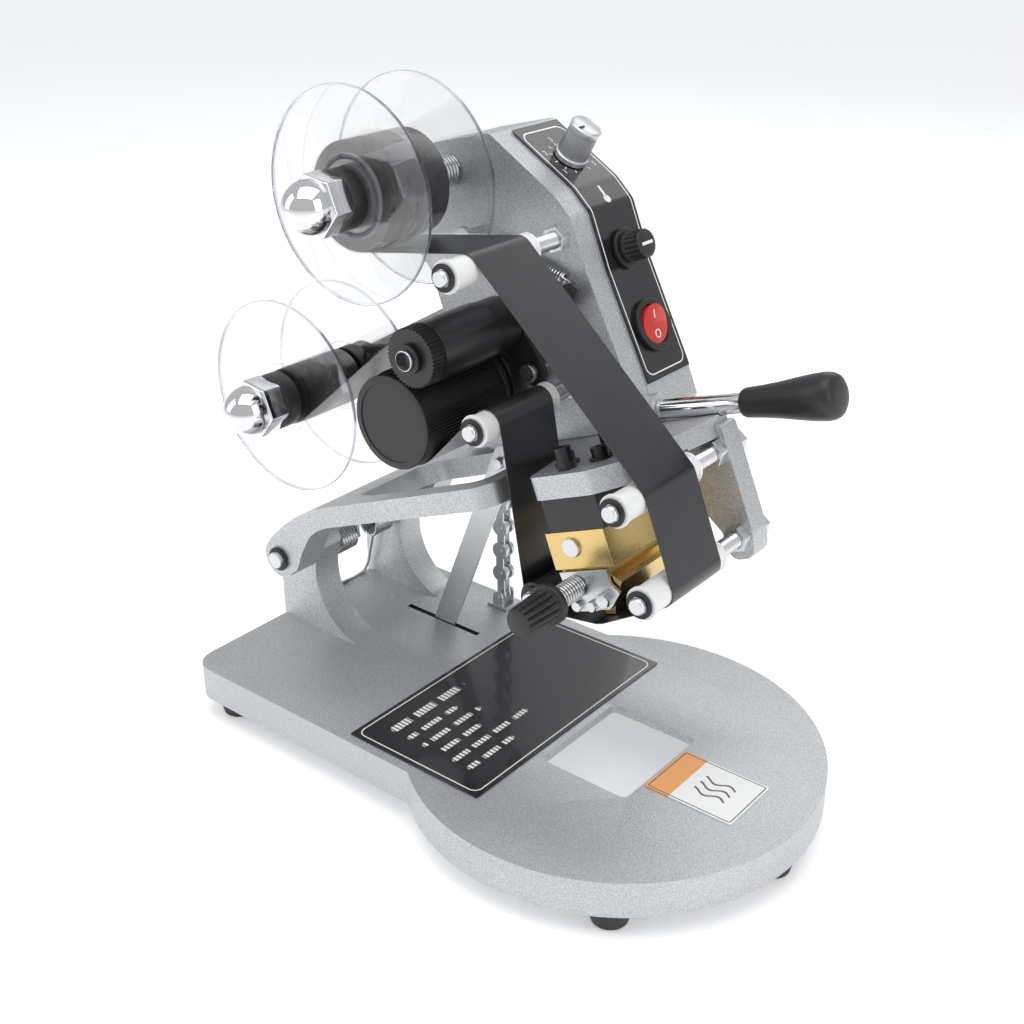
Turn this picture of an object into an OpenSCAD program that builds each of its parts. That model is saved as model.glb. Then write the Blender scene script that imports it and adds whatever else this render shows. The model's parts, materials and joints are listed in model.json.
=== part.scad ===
// Hand-operated hot foil stamper: a cast base with a round table, and a swinging
// head that carries the heated type, the foil reels and the foil feed.
// The swinging head is drawn in its own level frame: U runs forward from the hinge
// shaft, W runs up, and swing() tips the whole of it nose up to its rest angle.

/* [Base casting] */
// Radius of the round table
table_r = 90; // [85:1:95]
// Distance from the table centre to the straight back edge
back_len = 192.5; // [188:0.5:198]
// Half the width of the straight rear part
rear_half = 71.4; // [70:0.2:73]
// Height of the skirt
skirt_h = 16.6; // [15:0.2:18]
// Height of a rubber foot below the skirt
foot_h = 9.4; // [8:0.2:11]
// Thickness of the table plate
plate_t = 4; // [3.5:0.25:5]
// Thickness of the skirt wall
skirt_t = 3.5; // [3:0.25:4]
// Window length along the base
window_l = 43.2; // [42:0.2:45]
// Window width across the base
window_w = 53.2; // [52:0.2:54]

/* [Hinge] */
// Hinge axis, distance behind the table centre
hinge_back = 175; // [174:0.5:176]
// Hinge axis height above the table
hinge_up = 43; // [42:0.5:44]
// Radius of the hinge shaft
hinge_r = 4; // [3.8:0.1:4]
// How far the head is tipped up at rest, in degrees
rest_tilt = 22; // [21:0.5:22]

/* [Foil] */
// Width of the foil
foil_w = 34; // [32:0.5:34.5]
// Thickness of the foil as modelled
foil_t = 0.3; // [0.2:0.1:0.4]
// Radius of the clear reel discs
disc_r = 44; // [42:0.5:45]
// Outer radius of the full supply roll
roll_r = 22; // [20:0.5:24]
// Radius of the ribbed feed roller
feed_r = 20.5; // [20:0.1:20.6]
// Radius of the pinch roller
pinch_r = 12.1; // [11.5:0.1:12.2]

/* [Controls] */
// Radius of the temperature knob
knob_r = 7.4; // [6.5:0.1:8]
// Height of the temperature knob
knob_h = 17; // [15:0.5:18]
// Radius of the switch bezel
bezel_r = 11.4; // [11:0.1:11.6]
// Length of the lever handle's rod
handle_len = 52; // [48:1:56]

/* [Hidden] */
$fn = 64;

gap = 0.3; // air between foil and the rollers it runs on
table_z = skirt_h + foot_h;
takeup = [38.1, 73.5];
// the footprint box is centred on X = 0
reel_back = -hinge_back + takeup[0] * cos(rest_tilt) - takeup[1] * sin(rest_tilt) - disc_r;
table_x = -(reel_back + table_r) / 2;
hinge_x = table_x - hinge_back;
hinge_z = table_z + hinge_up;

silver = "#b9bbbd";
black = "#1b1b1c";
steel = "#c9ccd0";
white = "#f1efe9";
clear = [0.85, 0.9, 0.95, 0.35];

// places in the level frame, [u, w]
supply = [117.5, 145.7];
feed = [106.5, 54.1];
pinch = [129.3, 78.3];
lever_pin = [137.5, 55];
guides = [[165, 105.5], [212, 7.5], [212, -29], [150, -28], [152, 45]];
foil_y = -22.5;
plate_y = 37;
plate_d = 11;
cover_y = 48.3;
cover_d = 32.7;
control_y = cover_y + cover_d / 2;
rod_near_y = -38;
disc_t = 1.8;
near_disc_y = foil_y - 2.7;
far_disc_y = foil_y + foil_w + 3.4;
chain_pitch = 12.7;
chain_y = 63;
sprocket_r = chain_pitch / 2 / sin(180 / 8);
arm_w = [12, 21.5];
post_near = [-12, 3];
post_far = [47, 62];
type_w = -40.5;

function arc(cx, cy, r, a0, a1, n = 8) =
    [for (i = [0:n]) [cx + r * cos(a0 + (a1 - a0) * i / n), cy + r * sin(a0 + (a1 - a0) * i / n)]];
function unit(v) = v / norm(v);
// a closed outline with rounded corners: each point is [x, y, radius]
function rounded(pts, n = 6) = [for (i = [0:len(pts) - 1])
    let (p = [pts[i][0], pts[i][1]], r = pts[i][2],
        a = pts[(i + len(pts) - 1) % len(pts)], b = pts[(i + 1) % len(pts)],
        da = unit([a[0], a[1]] - p), db = unit([b[0], b[1]] - p),
        half = acos(min(1, max(-1, da * db))) / 2,
        mid = unit(da + db), c = p + mid * r / sin(half), t = r / tan(half),
        s = p + da * t - c, e = p + db * t - c,
        a0 = atan2(s[1], s[0]), raw = atan2(e[1], e[0]) - a0,
        turn = raw > 180 ? raw - 360 : raw < -180 ? raw + 360 : raw)
    each (r == 0 ? [p] : [for (k = [0:n]) c + r * [cos(a0 + turn * k / n), sin(a0 + turn * k / n)]])];

module at_table() { translate([table_x, 0, table_z]) children(); }
module swing() { translate([hinge_x, 0, hinge_z]) rotate([0, -rest_tilt, 0]) children(); }
// a cylinder along Y, centred on a place p = [u, w], from y0 to y1
module rod(p, y0, y1, r, n = 64) {
    translate([p[0], y0, p[1]]) rotate([-90, 0, 0]) cylinder(h = y1 - y0, r = r, $fn = n);
}
module cone_y(p, y0, y1, r0, r1) {
    translate([p[0], y0, p[1]]) rotate([-90, 0, 0]) cylinder(h = y1 - y0, r1 = r0, r2 = r1);
}
module ring(p, y0, y1, r, bore) {
    difference() {
        rod(p, y0, y1, r);
        rod(p, y0 - 1, y1 + 1, bore);
    }
}
// an outline in U and W, extruded from y0 to y1
module profile(y0, y1) {
    translate([0, y1, 0]) rotate([90, 0, 0]) linear_extrude(y1 - y0) children();
}
module hex_y(p, y0, y1, flats) {
    rod(p, y0, y1, flats / 2 / cos(30), 6);
}
// closed coils of round wire, stacked along Y
module coils(p, y0, y1, r, wire, n) {
    for (i = [0:n - 1])
        translate([p[0], y0 + wire + (y1 - y0 - 2 * wire) * i / (n - 1), p[1]])
            rotate([-90, 0, 0]) rotate_extrude() translate([r, 0]) circle(wire, $fn = 16);
}

// ---------------------------------------------------------------- base
module base_plan(inset = 0) {
    fillet = 6;
    y = rear_half - inset;
    r = table_r - inset;
    f = fillet + inset;
    cx = -sqrt((r + f) * (r + f) - (y + f) * (y + f));
    circle(r, $fn = 128);
    polygon(rounded([[-back_len + inset, -y, 11 - inset], [-back_len + inset, y, 11 - inset],
        [-20, y, 0], [-20, -y, 0]]));
    bite = 0.1; // the fillet runs this far into the sides it joins
    for (s = [0, 1]) mirror([0, s])
        polygon(concat(arc(cx, y + f, f + bite, -90, atan2(-y - f, -cx), 6),
            [[cx + 14, y - 14], [cx, y - 5]]));
}
module post(span) {
    reach = 31;
    profile(span[0], span[1]) difference() {
        union() {
            translate([-hinge_back, hinge_up]) circle(9.5);
            polygon([[-back_len, -1], [-back_len, 22], [-hinge_back - 8.4, hinge_up + 4.4],
                [-hinge_back, hinge_up], [-hinge_back + 9.1, hinge_up - 2.6], [-140, 30], [-140, -1]]);
        }
        translate([-hinge_back + 6.7 + reach, 30.5]) circle(reach);
    }
}
feet = [[79, 0], [45, 65.5], [45, -65.5], [-176, 59], [-176, -59]];
module base_casting() color(silver) difference() {
    at_table() difference() {
        union() {
            translate([0, 0, -skirt_h]) linear_extrude(skirt_h) base_plan();
            difference() {
                union() {
                    post(post_near);
                    post(post_far);
                }
                translate([0, 0, -20]) cube([500, 300, 40], center = true);
            }
        }
        difference() {
            translate([0, 0, -skirt_h - 1]) linear_extrude(skirt_h + 1 - plate_t) base_plan(skirt_t);
            for (p = feet) translate([p[0], p[1], -skirt_h]) cylinder(h = 20, r = 8);
        }
        translate([4.1, -2.3, -30]) linear_extrude(60)
            polygon(rounded([for (s = [[-1, -1], [1, -1], [1, 1], [-1, 1]])
                [s[0] * window_l / 2, s[1] * window_w / 2, 3]]));
        translate([-126.75, slot_y, 0]) cube([45.5, 2.8, 40], center = true);
        for (p = feet) translate([p[0], p[1], -skirt_h - 1]) cylinder(h = 11, r = 1.75);
    }
    rod([hinge_x, hinge_z], -20, 70, hinge_r);
}
module rubber_feet() color(black) at_table() for (p = feet)
    translate([p[0], p[1], -skirt_h - foot_h]) difference() {
        cylinder(h = foot_h, r1 = 7.5, r2 = 9.5);
        translate([0, 0, -1]) cylinder(h = 4, r = 4);
        translate([0, 0, -1]) cylinder(h = 20, r = 2);
    }
module foot_screws() color(steel) at_table() for (p = feet)
    translate([p[0], p[1], -skirt_h - foot_h]) {
        translate([0, 0, 0.8]) cylinder(h = 2.2, r = 3.6);
        translate([0, 0, 2]) cylinder(h = foot_h + 6, r = 1.75);
    }
module name_plate() color(black) at_table() linear_extrude(0.5)
    polygon(rounded([[-93, -67, 1], [-21, -67, 1], [-21, 65, 1], [-93, 65, 1]]));
module notice_plate() color(white) at_table() linear_extrude(0.4)
    polygon(rounded([[27, -17, 1], [68, -17, 1], [68, 14, 1], [27, 14, 1]]));
module hinge_shaft() color(steel) {
    rod([hinge_x, hinge_z], -31.5, 4, hinge_r);
    rod([hinge_x, hinge_z], 46, 82, hinge_r);
    for (y = [-29.5, 79]) rod([hinge_x, hinge_z], y, y + 0.9, 5.8);
}
// two coils hung between the posts, joined at the top by a bridge that bears on the
// head and at the bottom by a bail that stands at the back edge of the base
spring_z = hinge_z - 5;
module return_spring() color(steel) {
    centre = [hinge_x, spring_z];
    bridge = [hinge_x + 6, spring_z + 9];
    bail = [hinge_x - 16.3, table_z + 1];
    coils(centre, 5.5, 19.5, 6, 0.85, 8);
    coils(centre, 30.5, 44.5, 6, 0.85, 8);
    rod(bridge, 18, 32, 0.84, 24);
    rod(bail, 6, 44, 0.84, 24);
    for (y = [18.6, 31.4])
        translate([bridge[0], y, spring_z]) cylinder(h = 9, r = 0.83, $fn = 24);
    for (y = [6.4, 43.6])
        translate([bail[0], y, bail[1]]) rotate([0, atan2(10.3, spring_z - bail[1]), 0])
            cylinder(h = norm([10.3, spring_z - bail[1]]), r = 0.83, $fn = 24);
}
chain_x = -hinge_back + feed[0] * cos(rest_tilt) - feed[1] * sin(rest_tilt) - sprocket_r;
module chain_anchor() color(steel) at_table() translate([chain_x, chain_y, 0]) {
    translate([-6, -5.5, 0]) cube([12, 11, 1.5]);
    for (s = [-1, 1]) translate([-3, s * 4.4 - 0.6, 0]) cube([6, 1.2, 6]);
    rod([0, 6], -5, -3.8, 3);
    rod([0, 6], 3.8, 5, 3);
    rod([0, 6], -5.6, 5.6, 1.5);
}
// each link stands on the last: narrow and wide pairs of plates in turn
module drive_chain() color(steel) at_table() translate([chain_x, chain_y, 6]) for (i = [0:9])
    translate([0, 0, chain_pitch * i]) {
        wide = i % 2 == 0 ? 1.5 : 2.4;
        rod([0, chain_pitch], -3.6, 3.6, 1.8, 32);
        ring([0, chain_pitch], -1.45, 1.45, 3.4, 1.8);
        for (s = [-1, 1])
            translate([0, s * (wide + 0.4) - 0.4, 0]) difference() {
                union() {
                    rod([0, chain_pitch], 0, 0.8, 4.4);
                    rod([0, 0], 0, 0.8, i == 0 ? 2.8 : 4.4);
                    translate([-2.2, 0, 0]) cube([4.4, 0.8, chain_pitch]);
                }
                if (i == 0) rod([0, 0], -1, 2, 1.55);
            }
    }

// ---------------------------------------------------------------- swinging castings
head_bolts = [[174, -8], [190, -6]];
jack_bolts = [[180, -15.5], [184, 8]];
far_bolts = [[112, 42.5], [170, 42.5]];
strip_bolts = [[99, 16.7], [106, 16.7]];
cover_bolts = [[98, 142], [132, 146], [96, 30], [168, 34]];
slot_y = 32.2;
// the boss round the hinge pin sweeps up into the level bar
arm_top = [[11.7, 15.9], [20, 18.6], [34.6, 21], [38, 21.5], [52, 21.5], [52, 12], [46.4, 12]];
module arm_outline() {
    circle(9.7);
    polygon(concat([[-6.2, 6.4], [-2.4, 10], [1.9, 11.9], [6.5, 13.9]], arm_top, [[39, 11.9],
        [33.3, 11], [27.5, 9], [23.2, 6], [18.8, 2.4], [15.4, -0.6], [12.4, -4.2], [9.2, -7],
        [3.6, -8.2], [0, 0]]));
}
module hood_outline() {
    difference() {
        polygon(concat([[0.5, 9.5], [0.5, 11.2], [1.9, 11.9], [6.5, 13.9]], arm_top,
            [[30, 13], [14, 11.5], [8, 7]]));
        circle(10.2);
    }
}
module swing_yoke() color(silver) swing() difference() {
    union() {
        profile(-28, -12.5) arm_outline();
        profile(62.5, 78) arm_outline();
        profile(-12.5, 62.5) hood_outline();
        translate([0, 0, arm_w[0]]) linear_extrude(arm_w[1] - arm_w[0]) difference() {
            polygon(rounded([[46, -28, 0], [145, -28, 10], [145, 19, 3], [155, 19, 3], [165, -23.5, 5],
                [195, -23.5, 6], [208.6, -13, 10], [214.2, 33, 6], [214.2, 48, 1], [60, 48, 8],
                [60, 78, 4], [46, 78, 0]]));
            polygon(rounded([[52, -13, 2], [66, -17, 6], [134, -17, 8], [134, 33, 6], [60, 33, 8],
                [52, 26, 4]]));
        }
    }
    rod([0, 0], -40, 90, hinge_r + 0.05);
    for (s = concat(head_bolts, jack_bolts)) translate([s[0], s[1], 0]) cylinder(h = 40, r = 2.1);
    for (p = strip_bolts) rod(p, 30, 44, 1.5);
    rod(guides[1], -40, 18.5, 7.2);
    rod(guides[1], 18, plate_y - 0.05, 6.2);
    handle_axis() cylinder(h = 80, r = 4.6);
}
// the front leg, and a smaller one under the far bar for the rear guide rod
module guide_leg() color(silver) swing() difference() {
    union() {
        profile(plate_y, plate_y + plate_d) polygon(rounded([[194, 11.9, 0], [197, -15.5, 10],
            [204, -27, 6], [205, -39, 4], [216, -39, 5], [218.4, -28, 6], [217.2, 18, 2],
            [214.3, 18, 0], [214.3, 11.9, 0]]));
        profile(plate_y, plate_y + 8) polygon(rounded([[140, 11.9, 0], [160, 11.9, 0], [157, -30, 4],
            [152, -35.5, 4], [147, -35.5, 4], [143, -30, 4]]));
    }
    for (p = [guides[1], guides[2], guides[3]]) rod(p, 30, 60, 3);
}
module front_edge_cover() {
    polygon(rounded([[144.2, 154.5, 4], [168.3, 122.6, 10], [173.3, 111.9, 8], [173.5, 88, 20],
        [178.2, 38.7, 20], [178.6, 21.8, 3], [66, 21.8, 6], [66, 50, 12], [84, 72, 12],
        [86, 112, 6], [84, 150, 6], [113, 158.8, 8]]));
}
module handle_axis() { translate([175, 45, 27.2]) rotate([0, 94, 0]) children(); }
module side_plate() color(silver) swing() difference() {
    union() {
        profile(plate_y, plate_y + plate_d) {
            polygon(rounded([[144.2, 154.5, 4], [168.3, 122.6, 10], [173.3, 111.9, 8], [173.5, 88, 20],
                [178.2, 38.7, 20], [178.6, 21.8, 3], [88.5, 21.8, 6], [88.5, 108, 6], [85, 115, 6],
                [84, 150, 6], [113, 158.8, 8]]));
            polygon([[38, 64.5], [90, 60], [90, 90], [38, 82.5]]);
            translate(takeup) circle(9);
        }
        difference() {
            handle_axis() cylinder(h = 10, r = 7);
            translate([160, plate_y + plate_d, 0]) cube([19.2, 40, 50]);
            translate([160, 30, 0]) cube([40, 40, arm_w[1] + 0.2]);
        }
    }
    rod(feed, 30, 60, 4.05);
    for (p = [supply, takeup, guides[0], guides[4]]) rod(p, 30, 60, 3);
    for (p = [lever_pin, spring_post]) rod(p, 30, 44, 2);
    for (p = cover_bolts) rod(p, 43, 50, 1.5);
    translate([174, 45, 27.3]) rotate([0, 94, 0]) cylinder(h = 20, r = 3);
}
module rear_cover() color(silver) swing() difference() {
    profile(cover_y, cover_y + cover_d) front_edge_cover();
    profile(cover_y - 1, cover_y + cover_d - 2.5) offset(delta = -2.5) front_edge_cover();
    translate([69, chain_y - 7, 15]) cube([19, 14, 14]);
    on_panel(knob_at, slope_turn) cylinder(h = 20, r = 3.1, center = true);
    on_panel(fuse_at, 0) cylinder(h = 20, r = 5.2, center = true);
    on_panel(switch_at, face_turn) cylinder(h = 20, r = 9.2, center = true);
    translate([86, control_y, 132]) rotate([0, 90, 0]) cylinder(h = 14, r = 4.3, center = true);
    for (p = cover_bolts) rod(p, 70, 90, 1.6);
}
module cover_screws() color(steel) swing() for (p = cover_bolts) {
    rod(p, plate_y + 7, cover_y + cover_d, 1.48);
    rod(p, cover_y + cover_d, cover_y + cover_d + 2, 3.2);
}
knob_at = [158.96, 134.96];
slope_turn = 37.07;
fuse_at = [173.45, 93];
switch_at = [176.3, 59];
face_turn = 5.45;
panel_t = 0.8;
// a place on the control panel, with local Z pointing out of it
module on_panel(p, turn) {
    translate([p[0], control_y, p[1]]) rotate([0, 90 - turn, 0]) children();
}
module control_panel() color(black) swing() difference() {
    profile(cover_y + 1, cover_y + cover_d - 0.5) intersection() {
        difference() {
            offset(delta = panel_t) front_edge_cover();
            front_edge_cover();
        }
        polygon([[146, 153.5], [155, 160], [190, 120], [190, 37], [170, 37], [160, 120]]);
    }
    on_panel(knob_at, slope_turn) cylinder(h = 20, r = 3.1, center = true);
    on_panel(fuse_at, 0) cylinder(h = 20, r = 5.2, center = true);
    on_panel(switch_at, face_turn) cylinder(h = 20, r = 9.2, center = true);
}
module heat_knob() color(black) swing() on_panel(knob_at, slope_turn) difference() {
    translate([0, 0, panel_t + 0.3]) cylinder(h = knob_h, r1 = knob_r, r2 = knob_r - 0.6);
    cylinder(h = 12, r = 3.05);
    translate([0, 0, knob_h + 0.6]) translate([-knob_r, -0.4, 0]) cube([knob_r, 0.8, 2]);
}
module fuse_cap() color(black) swing() on_panel(fuse_at, 0) {
    translate([0, 0, panel_t + 2.5]) cylinder(h = 10, r = 6.5);
    translate([0, 0, -16]) cylinder(h = 20, r = 3.93);
}
module panel_fittings() color(black) swing() {
    on_panel(fuse_at, 0) difference() {
        union() {
            translate([0, 0, panel_t + 0.45]) cylinder(h = 1.95, r = 8.5);
            translate([0, 0, -22]) cylinder(h = 24, r = 5.15);
        }
        translate([0, 0, -20]) cylinder(h = 30, r = 4);
    }
    on_panel(switch_at, face_turn) difference() {
        union() {
            translate([0, 0, panel_t]) cylinder(h = 2.2, r = bezel_r);
            translate([0, 0, -16]) cylinder(h = 17, r = 9.15);
        }
        translate([0, 0, -7]) cylinder(h = 30, r = 8.6);
    }
}
module switch_rocker() color("#c3231f") swing() on_panel(switch_at, face_turn) union() {
    rotate([90, 0, 0]) cylinder(h = 16.8, r = 1.2, center = true);
    intersection() {
    translate([0, 0, -2]) cylinder(h = 9, r = 8.3);
    rotate([90, 0, 0]) translate([0, 0, -9]) linear_extrude(18)
        polygon([[-8.4, -1], [-3, -4], [3, -4], [8.4, -1], [8.4, 2.2], [0, 3], [-8.4, 5.4]]);
    }
}
module inlet_gland() color(black) swing() translate([84.2, control_y, 132]) rotate([0, -90, 0])
    difference() {
        union() {
            cylinder(h = 5, r = 8.5, $fn = 6);
            translate([0, 0, 4]) cylinder(h = 8, r1 = 7, r2 = 5.5);
            translate([0, 0, -8]) cylinder(h = 9, r = 3.98);
        }
        translate([0, 0, -10]) cylinder(h = 30, r = 3);
    }
module circuit_board() color("#2c6b3a") swing() {
    profile(68, 69.6) square_at([104, 88], [46, 34]);
    for (p = [[108, 92], [146, 92], [108, 118], [146, 118]]) rod(p, plate_y + plate_d, 68.3, 2);
    profile(60, 68.2) square_at([116, 98], [14, 14]);
    profile(62, 68.2) square_at([134, 100], [9, 12]);
    on_panel(knob_at, slope_turn) {
        translate([0, 0, -11.5]) cylinder(h = 8.7, r = 9);
        translate([0, 0, -3]) cylinder(h = 12, r = 3);
    }
}
module square_at(p, size) { translate(p) square(size); }
module lift_strip() color(steel) swing() difference() {
    profile(slot_y - 0.8, 33) translate([102.5, 18.6]) rotate(-133.2 + 180) translate([-132, -6]) {
        square([132, 12]);
        translate([132, 6]) circle(6);
    }
    for (p = strip_bolts) rod(p, 20, 40, 1.6);
    translate(strip_end) rod([0, 0], 20, 40, 1.6);
}
strip_end = [22.4, 0, -66.7];
module strip_fasteners() color(steel) swing() {
    for (p = strip_bolts) {
        rod(p, slot_y - 3, slot_y - 0.8, 2.8);
        rod(p, slot_y - 2, 42, 1.48);
    }
    translate(strip_end) rod([0, 0], slot_y - 5.5, slot_y + 5.5, 1.58);
}
module handle_rod() color(steel) swing() handle_axis() {
    translate([0, 0, 1]) cylinder(h = 12, r = 2.98);
    translate([0, 0, 10]) cylinder(h = handle_len, r = 4.2);
}
module handle_grip() color(black) swing() handle_axis() difference() {
    translate([0, 0, 51]) rotate_extrude() polygon([[0, 0], [5.4, 0], [6.2, 2], [6.4, 8], [8.4, 26],
        [9.4, 34], [9.2, 38], [7.6, 41], [0, 42.5]]);
    cylinder(h = 62, r = 4.25);
}

// ---------------------------------------------------------------- guide rods and rollers
rod_r = 3.5;
module guide_rods() color(steel) swing() {
    for (i = [0:4]) {
        rod(guides[i], near_edge(i) - 3.8, plate_y, rod_r);
        rod(guides[i], plate_y - 1, i == 3 ? plate_y + 7 : plate_y + 10.5, 2.98);
    }
}
module rod_nuts() color(steel) swing() {
    for (p = guides) difference() {
        hex_y(p, 32, plate_y, 10);
        rod(p, 20, 50, rod_r);
    }
    for (p = [guides[1], guides[2]]) hex_y(p, plate_y + plate_d, plate_y + plate_d + 4, 10);
}
module rod_clips() color(black) swing() for (i = [0:4]) for (y = [near_edge(i) - 1.6, far_edge + 0.4])
    ring(guides[i], y, y + 0.9, 5.6, rod_r);
far_edge = 16.4;
function near_edge(i) = i == 3 ? -24.6 : i == 4 ? -31 : -34;
module guide_roller(i, r = 6) {
    color(i == 3 ? "#3c3c3e" : white) swing() difference() {
        union() {
            rod(guides[i], near_edge(i), far_edge, r);
            for (y = [near_edge(i), far_edge - 1.6]) rod(guides[i], y, y + 1.6, r + 0.7);
        }
        rod(guides[i], -50, 50, rod_r + 0.05);
    }
}
module foil_roller_1() guide_roller(0);
module foil_roller_2() guide_roller(1);
module foil_roller_3() guide_roller(2);
module foil_roller_4() guide_roller(3);
module foil_roller_5() guide_roller(4);

// ---------------------------------------------------------------- heated head
head_y = [-21, 17];
module head_screws() color(black) swing() {
    for (s = head_bolts) translate([s[0], s[1], 0]) {
        translate([0, 0, -2]) cylinder(h = 25, r = 2);
        translate([0, 0, arm_w[1]]) cylinder(h = 1, r = 5);
        socket_head(arm_w[1] + 1, 3.6, 4);
    }
    for (s = jack_bolts) translate([s[0], s[1], 0]) {
        translate([0, 0, 4]) cylinder(h = 24, r = 2);
        translate([0, 0, arm_w[1]]) cylinder(h = 3, r = 4, $fn = 6);
        socket_head(arm_w[1] + 3, 3.4, 6);
    }
}
module socket_head(z, r, h) {
    translate([0, 0, z]) difference() {
        cylinder(h = h, r = r);
        translate([0, 0, h - 2]) cylinder(h = 4, r = 1.7, $fn = 6);
    }
}
module insulator_block() color(black) swing() difference() {
    profile(head_y[0], head_y[1]) square_at([166, -2.4], [28, 14.3]);
    for (s = concat(head_bolts, jack_bolts)) translate([s[0], s[1], -10]) cylinder(h = 40, r = 2.05);
}
module heater_block() color("#b9924a") swing() difference() {
    profile(head_y[0], head_y[1]) square_at([163, -18], [30, 15.5]);
    rod([175, -9], -30, 12, 4.05);
}
module heater_cartridge() color(steel) swing() rod([175, -9], -22.5, 12, 4);
module type_holder() color("#b9924a") swing() difference() {
    profile(head_y[0] + 0.5, head_y[1] - 0.5) polygon([[166, -18.3], [190, -18.3], [190, -20.4],
        [189, -21], [194, -24.8], [190, -31], [184.5, -36], [171, -36], [167, -30]]);
    rod([173.5, -24.5], -30, 0, 2.2);
    for (p = drawer_bolts) rod(p, -30, -14, 1.2);
    rod([186, -30.5], -30, -10, 1.5);
}
drawer_bolts = [[171.2, -32.6], [178.5, -33]];
module type_slugs() color("#a58a52") swing() for (i = [0:6])
    profile(-14 + i * 3.4, -11 + i * 3.4) polygon([[174, -36], [183, -36], [181.5, -38], [181, type_w],
        [176, type_w], [175.5, -38]]);
module drawer_plate() color(steel) swing() difference() {
    profile(head_y[0] - 1.8, head_y[0] - 0.2) polygon([[166, -18.6], [190, -18.6], [190, -24.5],
        [193.5, -28.6], [188, -34], [178, -35.6], [168, -35.2]]);
    rod([173.5, -24.5], -30, 0, 2.2);
    for (p = drawer_bolts) rod(p, -30, -14, 1.2);
    rod([186, -30.5], -30, -10, 1.5);
}
module drawer_screws() color(steel) swing() {
    for (p = drawer_bolts) {
        rod(p, head_y[0] - 4, head_y[0] - 1.8, 2.2);
        rod(p, head_y[0] - 2, -15, 1.18);
    }
    hex_y([186, -30.5], head_y[0] - 5, head_y[0] - 1.8, 5.5);
    rod([186, -30.5], head_y[0] - 2, -11, 1.48);
}
module drawer_spring() color(steel) swing()
    coils([173.5, -24.5], -39.5, head_y[0] - 1.9, 4, 0.7, 9);
module drawer_knob() color(black) swing() {
    rod([173.5, -24.5], -50, -8, 2.15);
    rod([173.5, -24.5], -42.5, -39.8, 8.4);
    cone_y([173.5, -24.5], -60.5, -42.5, 6.2, 7.2);
}

// ---------------------------------------------------------------- reels
module plate_shafts() color(steel) swing() {
    for (p = [supply, takeup]) {
        rod(p, -52, plate_y, 4);
        rod(p, plate_y - 1, plate_y + plate_d, 2.98);
    }
    for (p = [lever_pin, spring_post]) {
        rod(p, 25, 43, 1.98);
        rod(p, 24, 26.8, 4);
    }
}
spring_post = [124.6, 117.7];
module cap_nuts() color(steel) swing() for (p = [supply, takeup]) difference() {
    union() {
        rod(p, -33.6, near_disc_y - 0.4, 12.5);
        hex_y(p, -44, -33.5, 23);
        rod(p, -48.5, -44, 11.3);
        cone_y(p, -54, -48.5, 8.2, 11.3);
        cone_y(p, -57.5, -54, 1, 8.2);
    }
    rod(p, -52.5, -20, 4);
}
module supply_spring() color(steel) swing() coils(supply, 20.5, plate_y - 0.3, 6.4, 0.8, 8);
hub_r = 6;
module reel_disc(p, y) {
    ring(p, y, y + disc_t, disc_r, hub_r);
}
module supply_discs() color(clear) swing() for (y = [near_disc_y, far_disc_y - disc_t])
    reel_disc(supply, y);
supply_core_r = 17.2;
module supply_core() color("#8d8f92") swing() difference() {
    union() {
        rod(supply, near_disc_y + disc_t, far_disc_y - disc_t, supply_core_r);
        rod(supply, near_disc_y, 20, hub_r);
        rod(supply, far_disc_y, 20, 9);
    }
    rod(supply, -50, 50, 4.05);
}
module supply_foil() color("#c8ccd2") swing() ring(supply, foil_y, foil_y + foil_w, roll_r, supply_core_r);
takeup_core_r = 10;
takeup_roll_r = 12.4;
module takeup_discs() color(clear) swing() for (y = [near_disc_y, far_disc_y - disc_t])
    reel_disc(takeup, y);
belt_y = 24;
belt_r = 1.5;
pulley_r = 9.5;
module takeup_core() color(black) swing() difference() {
    union() {
        rod(takeup, near_disc_y + disc_t, far_disc_y - disc_t, takeup_core_r);
        rod(takeup, near_disc_y, far_disc_y + 1, hub_r);
        rod(takeup, far_disc_y, belt_y - 1.9, pulley_r + 2.6);
        rod(takeup, belt_y - 2, belt_y + 2, pulley_r - belt_r);
        rod(takeup, belt_y + 1.9, belt_y + 4, pulley_r + 2.6);
    }
    rod(takeup, -50, 50, 4.05);
}
module takeup_foil() color("#3a3632") swing() ring(takeup, foil_y, foil_y + foil_w, takeup_roll_r, takeup_core_r);
module drive_belt() color(black) swing() {
    belt = [[takeup[0], takeup[1], pulley_r + 0.4, -1], [feed[0], feed[1], groove_r + 0.4, -1]];
    profile(belt_y - belt_r, belt_y + belt_r) difference() {
        polygon(loop_path(belt, belt_r));
        polygon(loop_path(belt, -belt_r));
    }
}
groove_r = 17.6;
module feed_roller() color("#8f9194") swing() difference() {
    union() {
        rod(feed, -30, 20.5, feed_r);
        rod(feed, 20.4, 28, groove_r - belt_r);
        rod(feed, 27.9, 32, feed_r);
        rod(feed, -28.5, 67, 4);
    }
    rod(feed, -31, -28.8, 17.5);
}
module chain_sprocket() color(steel) swing() translate([feed[0], 0, feed[1]]) difference() {
    union() {
        profile(chain_y - 1, chain_y + 1) difference() {
            circle(sprocket_r + 0.9);
            for (i = [0:7]) rotate(180 - rest_tilt + 45 * i) {
                translate([sprocket_r, 0]) circle(4.15);
                translate([sprocket_r, 0]) polygon([[-0.5, -4.1], [4, -6.5], [4, 6.5], [-0.5, 4.1]]);
            }
        }
        rod([0, 0], chain_y - 8, chain_y - 0.9, 9);
    }
    rod([0, 0], 0, 90, 4.05);
}

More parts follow.
